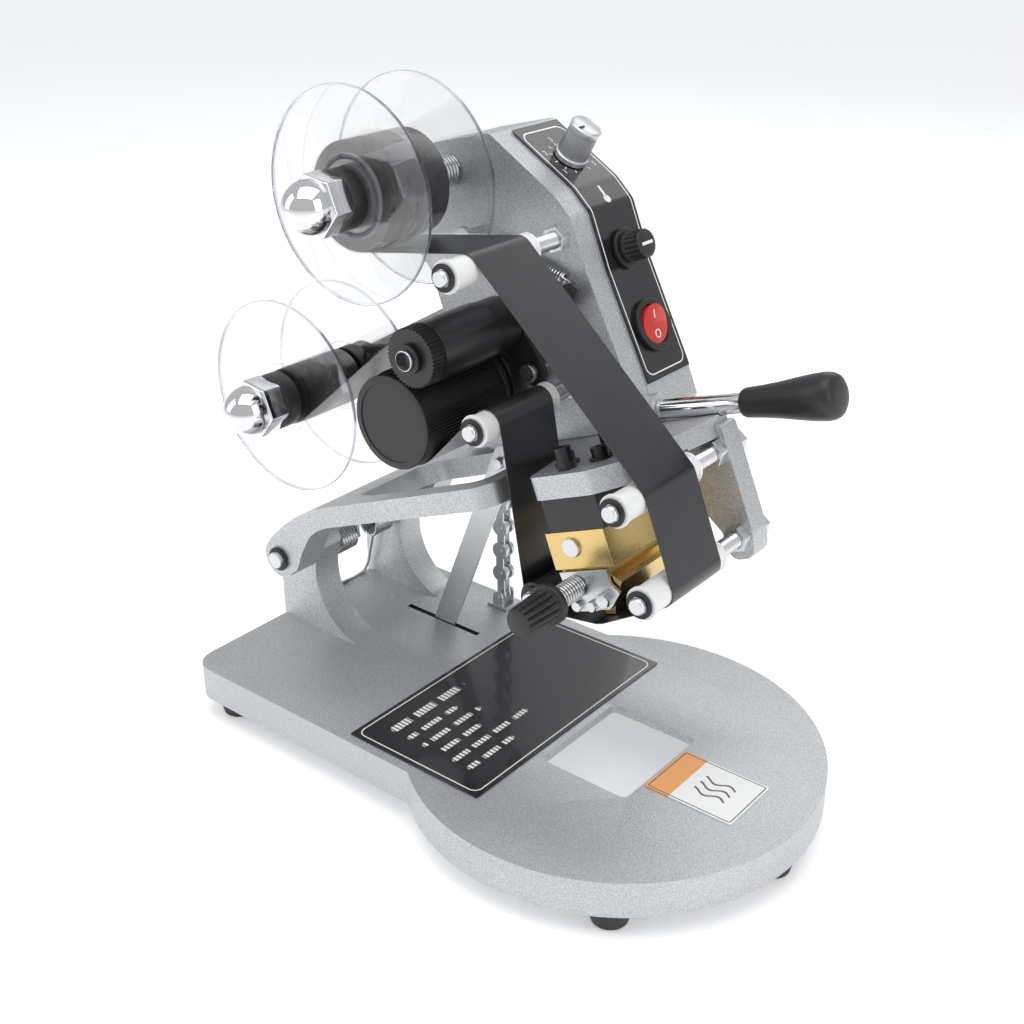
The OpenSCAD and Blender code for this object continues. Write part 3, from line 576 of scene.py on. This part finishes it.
# %% Guide rods, rollers and clips
ROLLER_NEAR = [-34, -34, -34, -24.6, -31]
ROLLER_FAR = 16.4
ROD_PAST_ROLLER = 3.8
FLANGE = 1.6
FLANGE_R = 6.7
TREAD_R = 6.0
ROLLER_BORE = 3.56
rods = []
for near, p in zip(ROLLER_NEAR, GUIDES):
    end = near - ROD_PAST_ROLLER
    rods.append(turned([(end, 0), (end, 2.9), (end + 0.5, 3.4), (end + 1.3, 3.5),
                        (end + 1.4, 3.1), (end + 2.1, 3.1), (end + 2.2, 3.5), (18, 3.5),
                        (18.2, 3.45)]
                       + thread(19, 37, 3.5) + [(37, 3.0), (44, 3.0), (44, 0)], p, 40))
show(join(*rods), "guide_rods_piece", ZINC, "guide_rods")
for i, (near, p) in enumerate(zip(ROLLER_NEAR, GUIDES)):
    far = ROLLER_FAR
    outline = [(near, ROLLER_BORE), (near, 6.3), (near + 0.3, FLANGE_R),
               (near + FLANGE - 0.3, FLANGE_R), (near + FLANGE, 6.4),
               (near + FLANGE + 0.3, TREAD_R), (far - FLANGE - 0.3, TREAD_R),
               (far - FLANGE, 6.4), (far - FLANGE + 0.3, FLANGE_R), (far - 0.3, FLANGE_R),
               (far, 6.3), (far, ROLLER_BORE), (near, ROLLER_BORE)]
    name = "foil_roller_%d" % (i + 1)
    look = SATIN_BLACK if i == 3 else WHITE
    show(turned(outline, p, 64), name + "_piece", look, name)
print("guide rods and rollers:", len(GUIDES))

# %% [markdown]
# The feed roller pulls the foil. It is a black drum with fine ribs along it, and the
# pinch roller that presses on it has a coarse ribbed collar for the thumb. The ribs
# are real: a circle of many corners has every other pair of corners drawn in, and the
# disc is extruded along the axle.

# %% Ribbed drums
def ribbed(centre, y0, y1, r, ribs, depth):
    """A ribbed drum from y0 to y1, closed at both ends."""
    bm = bmesh.new()
    bmesh.ops.create_circle(bm, cap_ends=True, segments=ribs * 4, radius=r)
    ring = sorted(bm.verts, key=lambda v: math.atan2(v.co.y, v.co.x))
    for i, v in enumerate(ring):
        if i % 4 in (2, 3):
            v.co *= (r - depth) / r
    turn = Matrix.Rotation(math.radians(-90), 4, "X")
    bmesh.ops.transform(bm, matrix=turn, verts=bm.verts)
    top = bmesh.ops.extrude_face_region(bm, geom=bm.faces[:])["geom"]
    lifted = [v for v in top if isinstance(v, bmesh.types.BMVert)]
    bmesh.ops.translate(bm, vec=(0, y1 - y0, 0), verts=lifted)
    bmesh.ops.translate(bm, vec=(centre[0], y0, centre[1]), verts=bm.verts)
    bmesh.ops.recalc_face_normals(bm, faces=bm.faces)
    return bm


feed_parts = [
    ribbed(FEED, -29.6, 20.5, 20.4, 84, 0.45),
    turned(pipe(-30, -29.4, 20.1, 17.3, 0.3), FEED, 96),
    turned(pipe(20.5, 22.4, 20.4, 4, 0.5), FEED, 96),
    turned([(22.3, 4), (22.3, 18.2), (23.0, 16.4), (25.0, 16.4), (25.8, 18.2), (25.8, 4),
            (22.3, 4)], FEED, 96),
    turned(pipe(25.7, 32, 20.4, 4, 0.5), FEED, 96),
]
axle = painted(turned(bar(31, 67, 4), FEED, 48), 1)
show(join(*feed_parts, axle), "feed_roller_piece", BLACK, "feed_roller", also=(ZINC,))
pinch_parts = [
    ribbed(PINCH, -30, -23.0, 12.5, 44, 0.7),
    turned(pipe(-23.1, 26, 12.1, 3.95, 0.5), PINCH, 72),
]
show(join(*pinch_parts), "pinch_roller_piece", BLACK, "pinch_roller")
show(turned(bar(-34.5, -32.6, 4.4, 0.6), PINCH, 48), "pinch_shaft_piece", ZINC, "pinch_lever")
print("feed and pinch rollers")

# %% [markdown]
# Springs are wound: a small circle of wire is spun about the axle through many turns,
# and each step also moves it along by a little. Closed ends come from winding the
# first and last turns tight. The return spring is two coils, joined by a bail that
# stands on the base and a bridge between them, and the pinch spring ends in hooks.

# %% Springs
def wound(centre, y0, y1, r, wire, turns, steps=20):
    bm = bmesh.new()
    bmesh.ops.create_circle(bm, segments=8, radius=wire)
    start = Vector((centre[0] + r, y0 + wire, centre[1]))
    bmesh.ops.translate(bm, vec=start, verts=bm.verts)
    pitches = [2.05 * wire] + [0] * turns + [2.05 * wire]
    free = (y1 - y0 - 2 * wire - sum(pitches)) / turns
    pitches = [p or free for p in pitches]
    ring = bm.verts[:] + bm.edges[:]
    for pitch in pitches:
        made = bmesh.ops.spin(bm, geom=ring, cent=(centre[0], 0, centre[1]),
                              axis=(0, 1, 0), dvec=(0, pitch / steps, 0),
                              angle=math.tau, steps=steps)
        ring = made["geom_last"]
    bmesh.ops.remove_doubles(bm, verts=bm.verts, dist=wire * 0.02)
    bmesh.ops.holes_fill(bm, edges=[e for e in bm.edges if e.is_boundary])
    bmesh.ops.recalc_face_normals(bm, faces=bm.faces)
    return bm


def wire_along(points, radius):
    """Bent wire: a smooth curve with thickness, made a mesh."""
    curve = bpy.data.curves.new("bent_wire", "CURVE")
    curve.dimensions = "3D"
    curve.bevel_depth = radius
    curve.bevel_resolution = 3
    curve.use_fill_caps = True
    spline = curve.splines.new("BEZIER")
    spline.bezier_points.add(len(points) - 1)
    for knot, point in zip(spline.bezier_points, points):
        knot.co = point
        knot.handle_left_type = knot.handle_right_type = "AUTO"
    holder = bpy.data.objects.new("bent_wire", curve)
    bpy.context.scene.collection.objects.link(holder)
    bpy.context.view_layer.update()
    mesh = bpy.data.meshes.new_from_object(holder)
    bm = bmesh.new()
    bm.from_mesh(mesh)
    bpy.data.objects.remove(holder)
    bmesh.ops.remove_doubles(bm, verts=bm.verts, dist=radius * 0.02)
    return bm


show(wound(SUPPLY, 20.2, 36.8, 6.4, 0.85, 6, 28), "supply_spring_piece", WIRE,
     "supply_spring")
show(wound(KNOB, -39.6, -23.0, 4.2, 0.65, 8, 24), "drawer_spring_piece", WIRE,
     "drawer_spring")
COIL_DROP = 5
COIL_LONG = 14
COIL_R = 6.0
SPRING_MIDDLE = 25
coil_at = (HINGE.x, HINGE.z - COIL_DROP)
coil_z = coil_at[1]
foot_z = TABLE_Z + 1.0


def both_sides(leg, *middle):
    """A leg of wire, the points across the middle, and the leg's mirror image."""
    return leg + list(middle) + [(x, 2 * SPRING_MIDDLE - y, z) for x, y, z in reversed(leg)]


bail = both_sides([(HINGE.x - COIL_R, 6.4, coil_z), (HINGE.x - 8.2, 6.4, coil_z - 8),
                   (HINGE.x - 12, 6.4, foot_z + 14), (HINGE.x - 15.8, 6.4, foot_z + 2),
                   (HINGE.x - 16.3, 8.2, foot_z)], (HINGE.x - 16.3, SPRING_MIDDLE, foot_z))
bridge = both_sides([(HINGE.x + COIL_R, 18.6, coil_z), (HINGE.x + COIL_R, 18.6, coil_z + 7),
                     (HINGE.x + COIL_R, 20.4, coil_z + 9)])
coils = [wound(coil_at, y, y + COIL_LONG, COIL_R, 0.85, 5, 28) for y in (5.5, 30.5)]
show(join(*coils, wire_along(bail, 0.85), wire_along(bridge, 0.83)),
     "return_spring_piece", WIRE, "return_spring", TO_METRES)
POST = Vector((124.6, 33.6, 117.7))
TAB = Vector((170.6, 33.6, 84))
span = TAB - POST
lean = Vector((0, 1, 0)).rotation_difference(span).to_matrix().to_4x4()
hooks = [[(2.4, 8.5, 0), (1.8, 6, 0), (0, 4.6, 0), (0, 3, 0)],
         [(2.4, span.length - 8.5, 0), (1.8, span.length - 6, 0),
          (0, span.length - 4.6, 0), (0, span.length - 2, 0)]]
show(moved(join(wound((0, 0), 8, span.length - 8, 2.4, 0.5, 26, 18),
                *(wire_along(h, 0.5) for h in hooks)), Matrix.Translation(POST) @ lean),
     "pinch_spring_piece", WIRE, "pinch_spring")
print("four springs")

# %% [markdown]
# Each reel is two clear acrylic discs on a core, held by a tall chrome cap nut. The
# nut is turned and its six flats are a short hexagonal prism with softened corners;
# the dome is one smooth arc. A black collar under it presses on the disc.

# %% Reels and cap nuts
NEAR_OUT, NEAR_IN = -25.2, -23.4
FAR_IN, FAR_OUT = 13.1, 14.9
SHAFT_BORE = 4.05
DISC_SEAT_R = 5.95
SUPPLY_CORE_R = 17.2
TAKEUP_CORE_R = 10


def disc(centre, y0, thick=1.8):
    return turned([(y0, 6.05), (y0, 43.5), (y0 + 0.15, 43.9), (y0 + 0.5, 44),
                   (y0 + thick - 0.5, 44), (y0 + thick - 0.15, 43.9),
                   (y0 + thick, 43.5), (y0 + thick, 6.05), (y0, 6.05)], centre, 128)


def hexagon(centre, y0, y1, flats, soft):
    bm = bmesh.new()
    bmesh.ops.create_cone(bm, cap_ends=True, segments=6, radius1=flats / math.sqrt(3),
                          radius2=flats / math.sqrt(3), depth=y1 - y0)
    bmesh.ops.bevel(bm, geom=bm.edges[:], offset=soft, offset_type="OFFSET", segments=3,
                    profile=0.5, affect="EDGES", material=-1)
    bmesh.ops.transform(bm, verts=bm.verts, matrix=Matrix.Translation(
        (centre[0], (y0 + y1) / 2, centre[1])) @ Matrix.Rotation(math.radians(90), 4, "X"))
    return bm


def cap_nut(centre):
    dome = [(-44.4 - 13.0 * math.sin(math.radians(a)), 11.1 * math.cos(math.radians(a)))
            for a in range(0, 90, 10)] + [(-57.4, 0)]
    collar = painted(turned(pipe(-33.8, -25.6, 12.4, 4.05, 0.8), centre, 72), 1)
    head = turned([(-43.6, 10.4), (-44.1, 11.0)] + dome, centre, 72)
    return join(hexagon(centre, -44, -33.7, 22.8, 0.8), head, collar)


show(join(*(cap_nut(c) for c in (SUPPLY, TAKEUP))), "cap_nuts_piece", CHROME, "cap_nuts",
     also=(BLACK,))
for name, centre, look in (("supply_discs", SUPPLY, SUPPLY_DISC),
                           ("takeup_discs", TAKEUP, TAKEUP_DISC)):
    show(join(disc(centre, NEAR_OUT), disc(centre, FAR_IN)), name + "_piece", look, name)
core = [(NEAR_OUT, SHAFT_BORE), (NEAR_OUT, 5.4), (-24.9, DISC_SEAT_R), (NEAR_IN, DISC_SEAT_R),
        (NEAR_IN, 12.6), (-22.9, 12.8), (-22.9, 14.6), (NEAR_IN, 14.9), (NEAR_IN, 16.8),
        (-23.1, SUPPLY_CORE_R), (12.8, SUPPLY_CORE_R), (FAR_IN, 16.8), (FAR_IN, DISC_SEAT_R),
        (FAR_OUT, DISC_SEAT_R), (FAR_OUT, 8.6), (15.2, 9), (19.7, 9), (20, 8.6),
        (20, SHAFT_BORE), (NEAR_OUT, SHAFT_BORE)]
show(turned(core, SUPPLY, 72), "supply_core_piece", GREY, "supply_core")
show(turned(pipe(FOIL_NEAR, FOIL_FAR, 22, SUPPLY_CORE_R, 0.15), SUPPLY, 128),
     "supply_foil_piece", SUPPLY_ROLL, "supply_foil")
spool = [(NEAR_OUT, SHAFT_BORE), (NEAR_OUT, 5.7), (-24.9, DISC_SEAT_R), (NEAR_IN, DISC_SEAT_R),
         (NEAR_IN, 9.7), (-23.1, TAKEUP_CORE_R), (12.8, TAKEUP_CORE_R), (FAR_IN, 9.7),
         (FAR_IN, DISC_SEAT_R), (FAR_OUT, DISC_SEAT_R)]
belt_pulley = [(FAR_OUT, 11.7), (15.3, 12.1), (21.2, 12.1), (22.0, 11.5), (22.8, 8.4),
               (24, 8.0), (25.2, 8.4), (26.0, 11.5), (26.8, 12.1), (27.6, 12.1), (28, 11.7),
               (28, SHAFT_BORE), (NEAR_OUT, SHAFT_BORE)]
show(turned(spool + belt_pulley, TAKEUP, 72), "takeup_core_piece", BLACK, "takeup_core")
show(turned(pipe(FOIL_NEAR, FOIL_FAR, 12.4, TAKEUP_CORE_R, 0.1), TAKEUP, 96),
     "takeup_foil_piece", SPENT_ROLL, "takeup_foil")
print("two reels")

# %% [markdown]
# A round rubber cord carries the drive from the feed roller to the take-up pulley. Its
# path is two arcs and two straight runs, so it is a closed curve with thickness.

# %% Drive belt
def belt_loop(a, ra, b, rb, y, thick, steps=16):
    heading = math.atan2(b[1] - a[1], b[0] - a[0])
    lean = math.asin((ra - rb) / math.dist(a, b))
    arcs = ((a, ra, heading + math.pi / 2 - lean, heading + 3 * math.pi / 2 + lean),
            (b, rb, heading - math.pi / 2 + lean, heading + math.pi / 2 - lean))
    path = [(c[0] + r * math.cos(t0 + (t1 - t0) * i / steps), y,
             c[1] + r * math.sin(t0 + (t1 - t0) * i / steps))
            for c, r, t0, t1 in arcs for i in range(steps + 1)]
    curve = bpy.data.curves.new("belt", "CURVE")
    curve.dimensions = "3D"
    curve.bevel_depth = thick
    curve.bevel_resolution = 4
    spline = curve.splines.new("POLY")
    spline.points.add(len(path) - 1)
    for knot, point in zip(spline.points, path):
        knot.co = (*point, 1)
    spline.use_cyclic_u = True
    holder = bpy.data.objects.new("belt", curve)
    bpy.context.scene.collection.objects.link(holder)
    bpy.context.view_layer.update()
    bm = bmesh.new()
    bm.from_mesh(bpy.data.meshes.new_from_object(holder))
    bpy.data.objects.remove(holder)
    return bm


show(belt_loop(TAKEUP, 9.8, FEED, 18.0, 24, 1.45), "drive_belt_piece", RUBBER, "drive_belt")
print("drive belt")

# %% [markdown]
# Three things are held in the hand: the lever with its tapered grip, the fluted knob
# that frees the type drawer, and the heat dial. Each has the grip its own job needs:
# smooth to hold, deep flutes to turn hard, fine flutes to set with two fingers. The
# fuse cap is made here too, with a white mark across its face.

# %% Lever, drawer knob and heat dial
LEVER = (LEVEL @ Matrix.Translation((175, 45, 27.2))
         @ Matrix.Rotation(math.radians(94), 4, "Y") @ STAND)
show(turned([(1, 0), (1, 2.98), (9.9, 2.98), (10, 3.8), (10.5, 4.2), (52, 4.2), (60, 4.1),
             (60, 0)], steps=56), "handle_rod_piece", CHROME, "handle_rod", LEVER)
grip = [(51.0, 4.25), (51.0, 5.0), (51.3, 5.6), (52.2, 6.0), (54, 6.15), (60, 6.5),
        (68, 7.3), (76, 8.4), (83, 9.2), (87.5, 9.45), (90.2, 9.2), (92.0, 8.4), (93.0, 7.0),
        (93.4, 4.0), (93.5, 0)]
inner = [(51.0, 4.25), (62, 4.25), (62, 0)]
show(join(turned(grip, steps=64), turned(inner, steps=64)), "handle_grip_piece", BLACK,
     "handle_grip", LEVER)


def fluted(profile, centre, flutes, depth, steps_each=8):
    """A turned piece whose side is drawn in at each flute; profile gives each depth share."""
    bm = turned([(y, r) for y, r, _ in profile], centre, flutes * steps_each)
    share = {round(y, 3): s for y, _, s in profile}
    for v in bm.verts:
        du, dw = v.co.x - centre[0], v.co.z - centre[1]
        dip = 0.5 - 0.5 * math.cos(math.atan2(dw, du) * flutes)
        pull = 1 - depth * share.get(round(v.co.y, 3), 0) * dip ** 2 / max(math.hypot(du, dw), 1)
        v.co.x, v.co.z = centre[0] + du * pull, centre[1] + dw * pull
    return bm


knob = [(-60.5, 0, 0), (-60.5, 5.0, 0), (-60.2, 5.7, 0.2), (-59.4, 6.1, 1), (-52, 6.6, 1),
        (-43.6, 7.2, 1), (-43.2, 7.3, 0.3), (-42.9, 8.2, 0), (-42.6, 8.4, 0),
        (-40.1, 8.4, 0), (-39.8, 8.1, 0), (-39.8, 2.1, 0)]
stem = painted(turned([(-40, 2.1), (-8, 2.1), (-8, 0)], KNOB, 32), 1)
show(join(fluted(knob, KNOB, 14, 1.0), stem), "drawer_knob_piece", BLACK, "drawer_knob",
     also=(ZINC,))


def on_panel(place, turn):
    return (LEVEL @ Matrix.Translation((place[0], PANEL_Y, place[1]))
            @ Matrix.Rotation(math.radians(90 - turn), 4, "Y"))


SLOPE = on_panel((158.96, 134.96), 37.07)
FUSE = on_panel((173.45, 93), 0)
FACE = on_panel((176.3, 59), 5.45)
BEND = on_panel((170.8, 117.25), 25)
dial = fluted([(1.1, 3.05, 0), (1.1, 7.0, 0), (1.3, 7.4, 0), (3.2, 7.4, 0), (3.5, 7.1, 0),
               (3.6, 6.7, 0), (3.9, 6.9, 1), (14.6, 6.6, 1), (14.8, 6.6, 0.3),
               (15.1, 6.8, 0), (17.3, 6.8, 0), (17.8, 6.4, 0), (17.9, 6.0, 0),
               (17.6, 5.6, 0), (17.6, 0, 0)], (0, 0), 40, 0.35, 4)
pointer = bmesh.new()
bmesh.ops.create_cube(pointer, size=1.0)
moved(pointer, Matrix.Translation((0, 17.75, 3.6)) @ Matrix.Diagonal((0.8, 0.3, 3.4, 1)))
show(join(dial, painted(pointer, 1)), "heat_knob_piece", ALUMINIUM, "heat_knob",
     SLOPE @ STAND, also=(BLACK,))
cap = fluted([(3.3, 3.9, 0), (3.3, 6.1, 0), (3.6, 6.5, 0), (5.2, 6.5, 0), (5.4, 6.4, 1),
              (12.0, 6.2, 1), (12.3, 6.2, 0.4), (12.9, 5.8, 0), (13.2, 5.0, 0),
              (13.2, 0, 0)], (0, 0), 18, 0.5, 6)
cap_mark = bmesh.new()
bmesh.ops.create_cube(cap_mark, size=1.0)
moved(cap_mark, Matrix.Translation((0, 13.18, 0)) @ Matrix.Diagonal((1.3, 0.16, 7.4, 1)))
show(join(cap, painted(turned([(-16, 0), (-16, 3.9), (3.4, 3.9)], steps=32), 1),
          painted(cap_mark, 1)), "fuse_cap_piece", BLACK, "fuse_cap", FUSE @ STAND,
     also=(PRINT_WHITE,))
print("lever, knobs and fuse cap")

# %% [markdown]
# The dial has five figures and a ring of ticks, the panel a plain heat mark, and the
# rocker the two marks for on and off. All of these are thin printed shapes laid a hair
# above the surface, so they stay crisp from any distance.

# %% Printed marks
def strip(x, y, long, wide, turn=0.0):
    bm = bmesh.new()
    bmesh.ops.create_cube(bm, size=1.0)
    return moved(bm, Matrix.Rotation(turn, 4, "Z") @ Matrix.Translation((x, y, 0))
                 @ Matrix.Diagonal((long, wide, 0.06, 1)))


def loop(x, y, r, wide):
    ring = turned([(-0.03, r - wide), (-0.03, r), (0.03, r), (0.03, r - wide),
                   (-0.03, r - wide)], steps=40)
    return moved(ring, Matrix.Translation((x, y, 0)) @ STAND)


def figure(text, x, y, size):
    curve = bpy.data.curves.new("figure", "FONT")
    curve.body = text
    curve.size = size
    curve.align_x = curve.align_y = "CENTER"
    curve.extrude = 0.03
    holder = bpy.data.objects.new("figure", curve)
    bpy.context.scene.collection.objects.link(holder)
    bpy.context.view_layer.update()
    bm = bmesh.new()
    bm.from_mesh(bpy.data.meshes.new_from_object(holder))
    bpy.data.objects.remove(holder)
    return moved(bm, Matrix.Translation((x, y, 0)) @ Matrix.Rotation(math.pi / 2, 4, "Z"))


def marks(parts, name, matrix, body):
    bm = moved(join(*parts), matrix)
    mesh = bpy.data.meshes.new(name)
    bm.to_mesh(mesh)
    bm.free()
    mesh.materials.append(PRINT_WHITE)
    piece = bpy.data.objects.new(name, mesh)
    bpy.context.scene.collection.objects.link(piece)
    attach(piece, body)
    return piece


ticks = [strip(9.1, 0, 1.6, 0.5, math.radians(30 + 30 * i)) for i in range(11)]
figures = [figure(str(i + 1), -11.9 * math.cos(a), 11.9 * math.sin(a), 3.9)
           for i, a in enumerate(math.radians(-122 + 61 * k) for k in range(5))]
LIFT = Matrix.Translation((0, 0, 0.84))
marks(ticks + figures, "dial_marks", SLOPE @ LIFT, "head")
marks([strip(-0.6, 0, 6.4, 1.3), loop(3.0, 0, 1.9, 1.88)], "heat_mark", BEND @ LIFT, "head")
UPPER = (FACE @ Matrix.Translation((-4.2, 0, 4.24)) @ Matrix.Rotation(math.radians(15.95), 4, "Y"))
LOWER = (FACE @ Matrix.Translation((4.2, 0, 2.64)) @ Matrix.Rotation(math.radians(5.44), 4, "Y"))
marks([strip(0, 0, 3.6, 0.55)], "on_mark", UPPER, "power_rocker")
marks([loop(0, 0, 1.9, 0.5)], "off_mark", LOWER, "power_rocker")
print("printed marks")

# %% [markdown]
# The rocker is red and shines. The head hangs on two plain pins, one in each post, and
# each pin is kept in by a black spring clip at its outer end.

# %% Rocker and hinge pins
show(softened("switch_rocker", 0.5, 3), "switch_rocker_piece", RED, "switch_rocker", STAY)
HINGE_AT = (HINGE.x, HINGE.z)
pins = [turned(bar(y0, y1, 3.98), HINGE_AT, 48) for y0, y1 in ((-31.5, 4), (46, 82))]
clips = [painted(turned(pipe(y, y + 0.9, 5.8, 3.9, 0.15), HINGE_AT, 48), 1)
         for y in (-29.5, 79)]
show(join(*pins, *clips), "hinge_shaft_piece", ZINC, "hinge_shaft", TO_METRES, also=(OXIDE_AND_SLOT_SHADE,))
print("rocker and two hinge pins")

# %% [markdown]
# The stage is a plain pale floor that glows a little, under soft boxes: one large light
# overhead, one on each side to draw long edges in the chrome, one behind, and a pale
# world to fill the shadows.

# %% Floor, lights and camera
floor_mesh = bpy.data.meshes.new("floor")
bm = bmesh.new()
bmesh.ops.create_grid(bm, x_segments=1, y_segments=1, size=60)
bm.to_mesh(floor_mesh)
bm.free()
floor_look = Finish("studio_floor", Base_Color=(0.93, 0.93, 0.93), Roughness=0.75,
                    Emission_Color=(1, 1, 1), Emission_Strength=0.32)
floor_mesh.materials.append(floor_look.material)
floor = bpy.data.objects.new("floor", floor_mesh)
floor.location.z = -0.0005
bpy.context.scene.collection.objects.link(floor)

world = bpy.data.worlds.new("studio")
world.use_nodes = True
world.node_tree.nodes["Background"].inputs[0].default_value = (0.95, 0.97, 1.0, 1)
world.node_tree.nodes["Background"].inputs[1].default_value = 0.6
bpy.context.scene.world = world


def softbox(name, place, aim_at, size, watts):
    data = bpy.data.lights.new(name, "AREA")
    data.shape = "RECTANGLE"
    data.size, data.size_y = size
    data.energy = watts
    lamp = bpy.data.objects.new(name, data)
    lamp.location = place
    lamp.rotation_euler = (Vector(aim_at) - Vector(place)).to_track_quat("-Z", "Y").to_euler()
    bpy.context.scene.collection.objects.link(lamp)


softbox("overhead", (0.1, -0.2, 1.3), (0, 0, 0.1), (1.2, 1.0), 6.2)
softbox("left_side", (-0.9, -0.8, 0.7), (0, 0, 0.12), (0.6, 1.0), 2.6)
softbox("right_side", (1.1, -0.1, 0.6), (0, 0, 0.12), (0.5, 1.0), 2.2)
softbox("behind", (-0.2, 1.2, 0.9), (0, 0, 0.15), (1.0, 0.6), 2.6)

lens = bpy.data.cameras.new("camera")
lens.sensor_width = 36
lens.lens = 50.4
camera = bpy.data.objects.new("camera", lens)
camera.location = (0.3470, -0.4238, 0.3865)
view = Vector((0.0127, -0.0109, 0.126)) - camera.location
camera.rotation_euler = view.to_track_quat("-Z", "Y").to_euler()
bpy.context.scene.collection.objects.link(camera)
bpy.context.scene.camera = camera
bpy.context.scene.view_settings.view_transform = "Standard"
print("camera", tuple(round(v, 3) for v in camera.location))
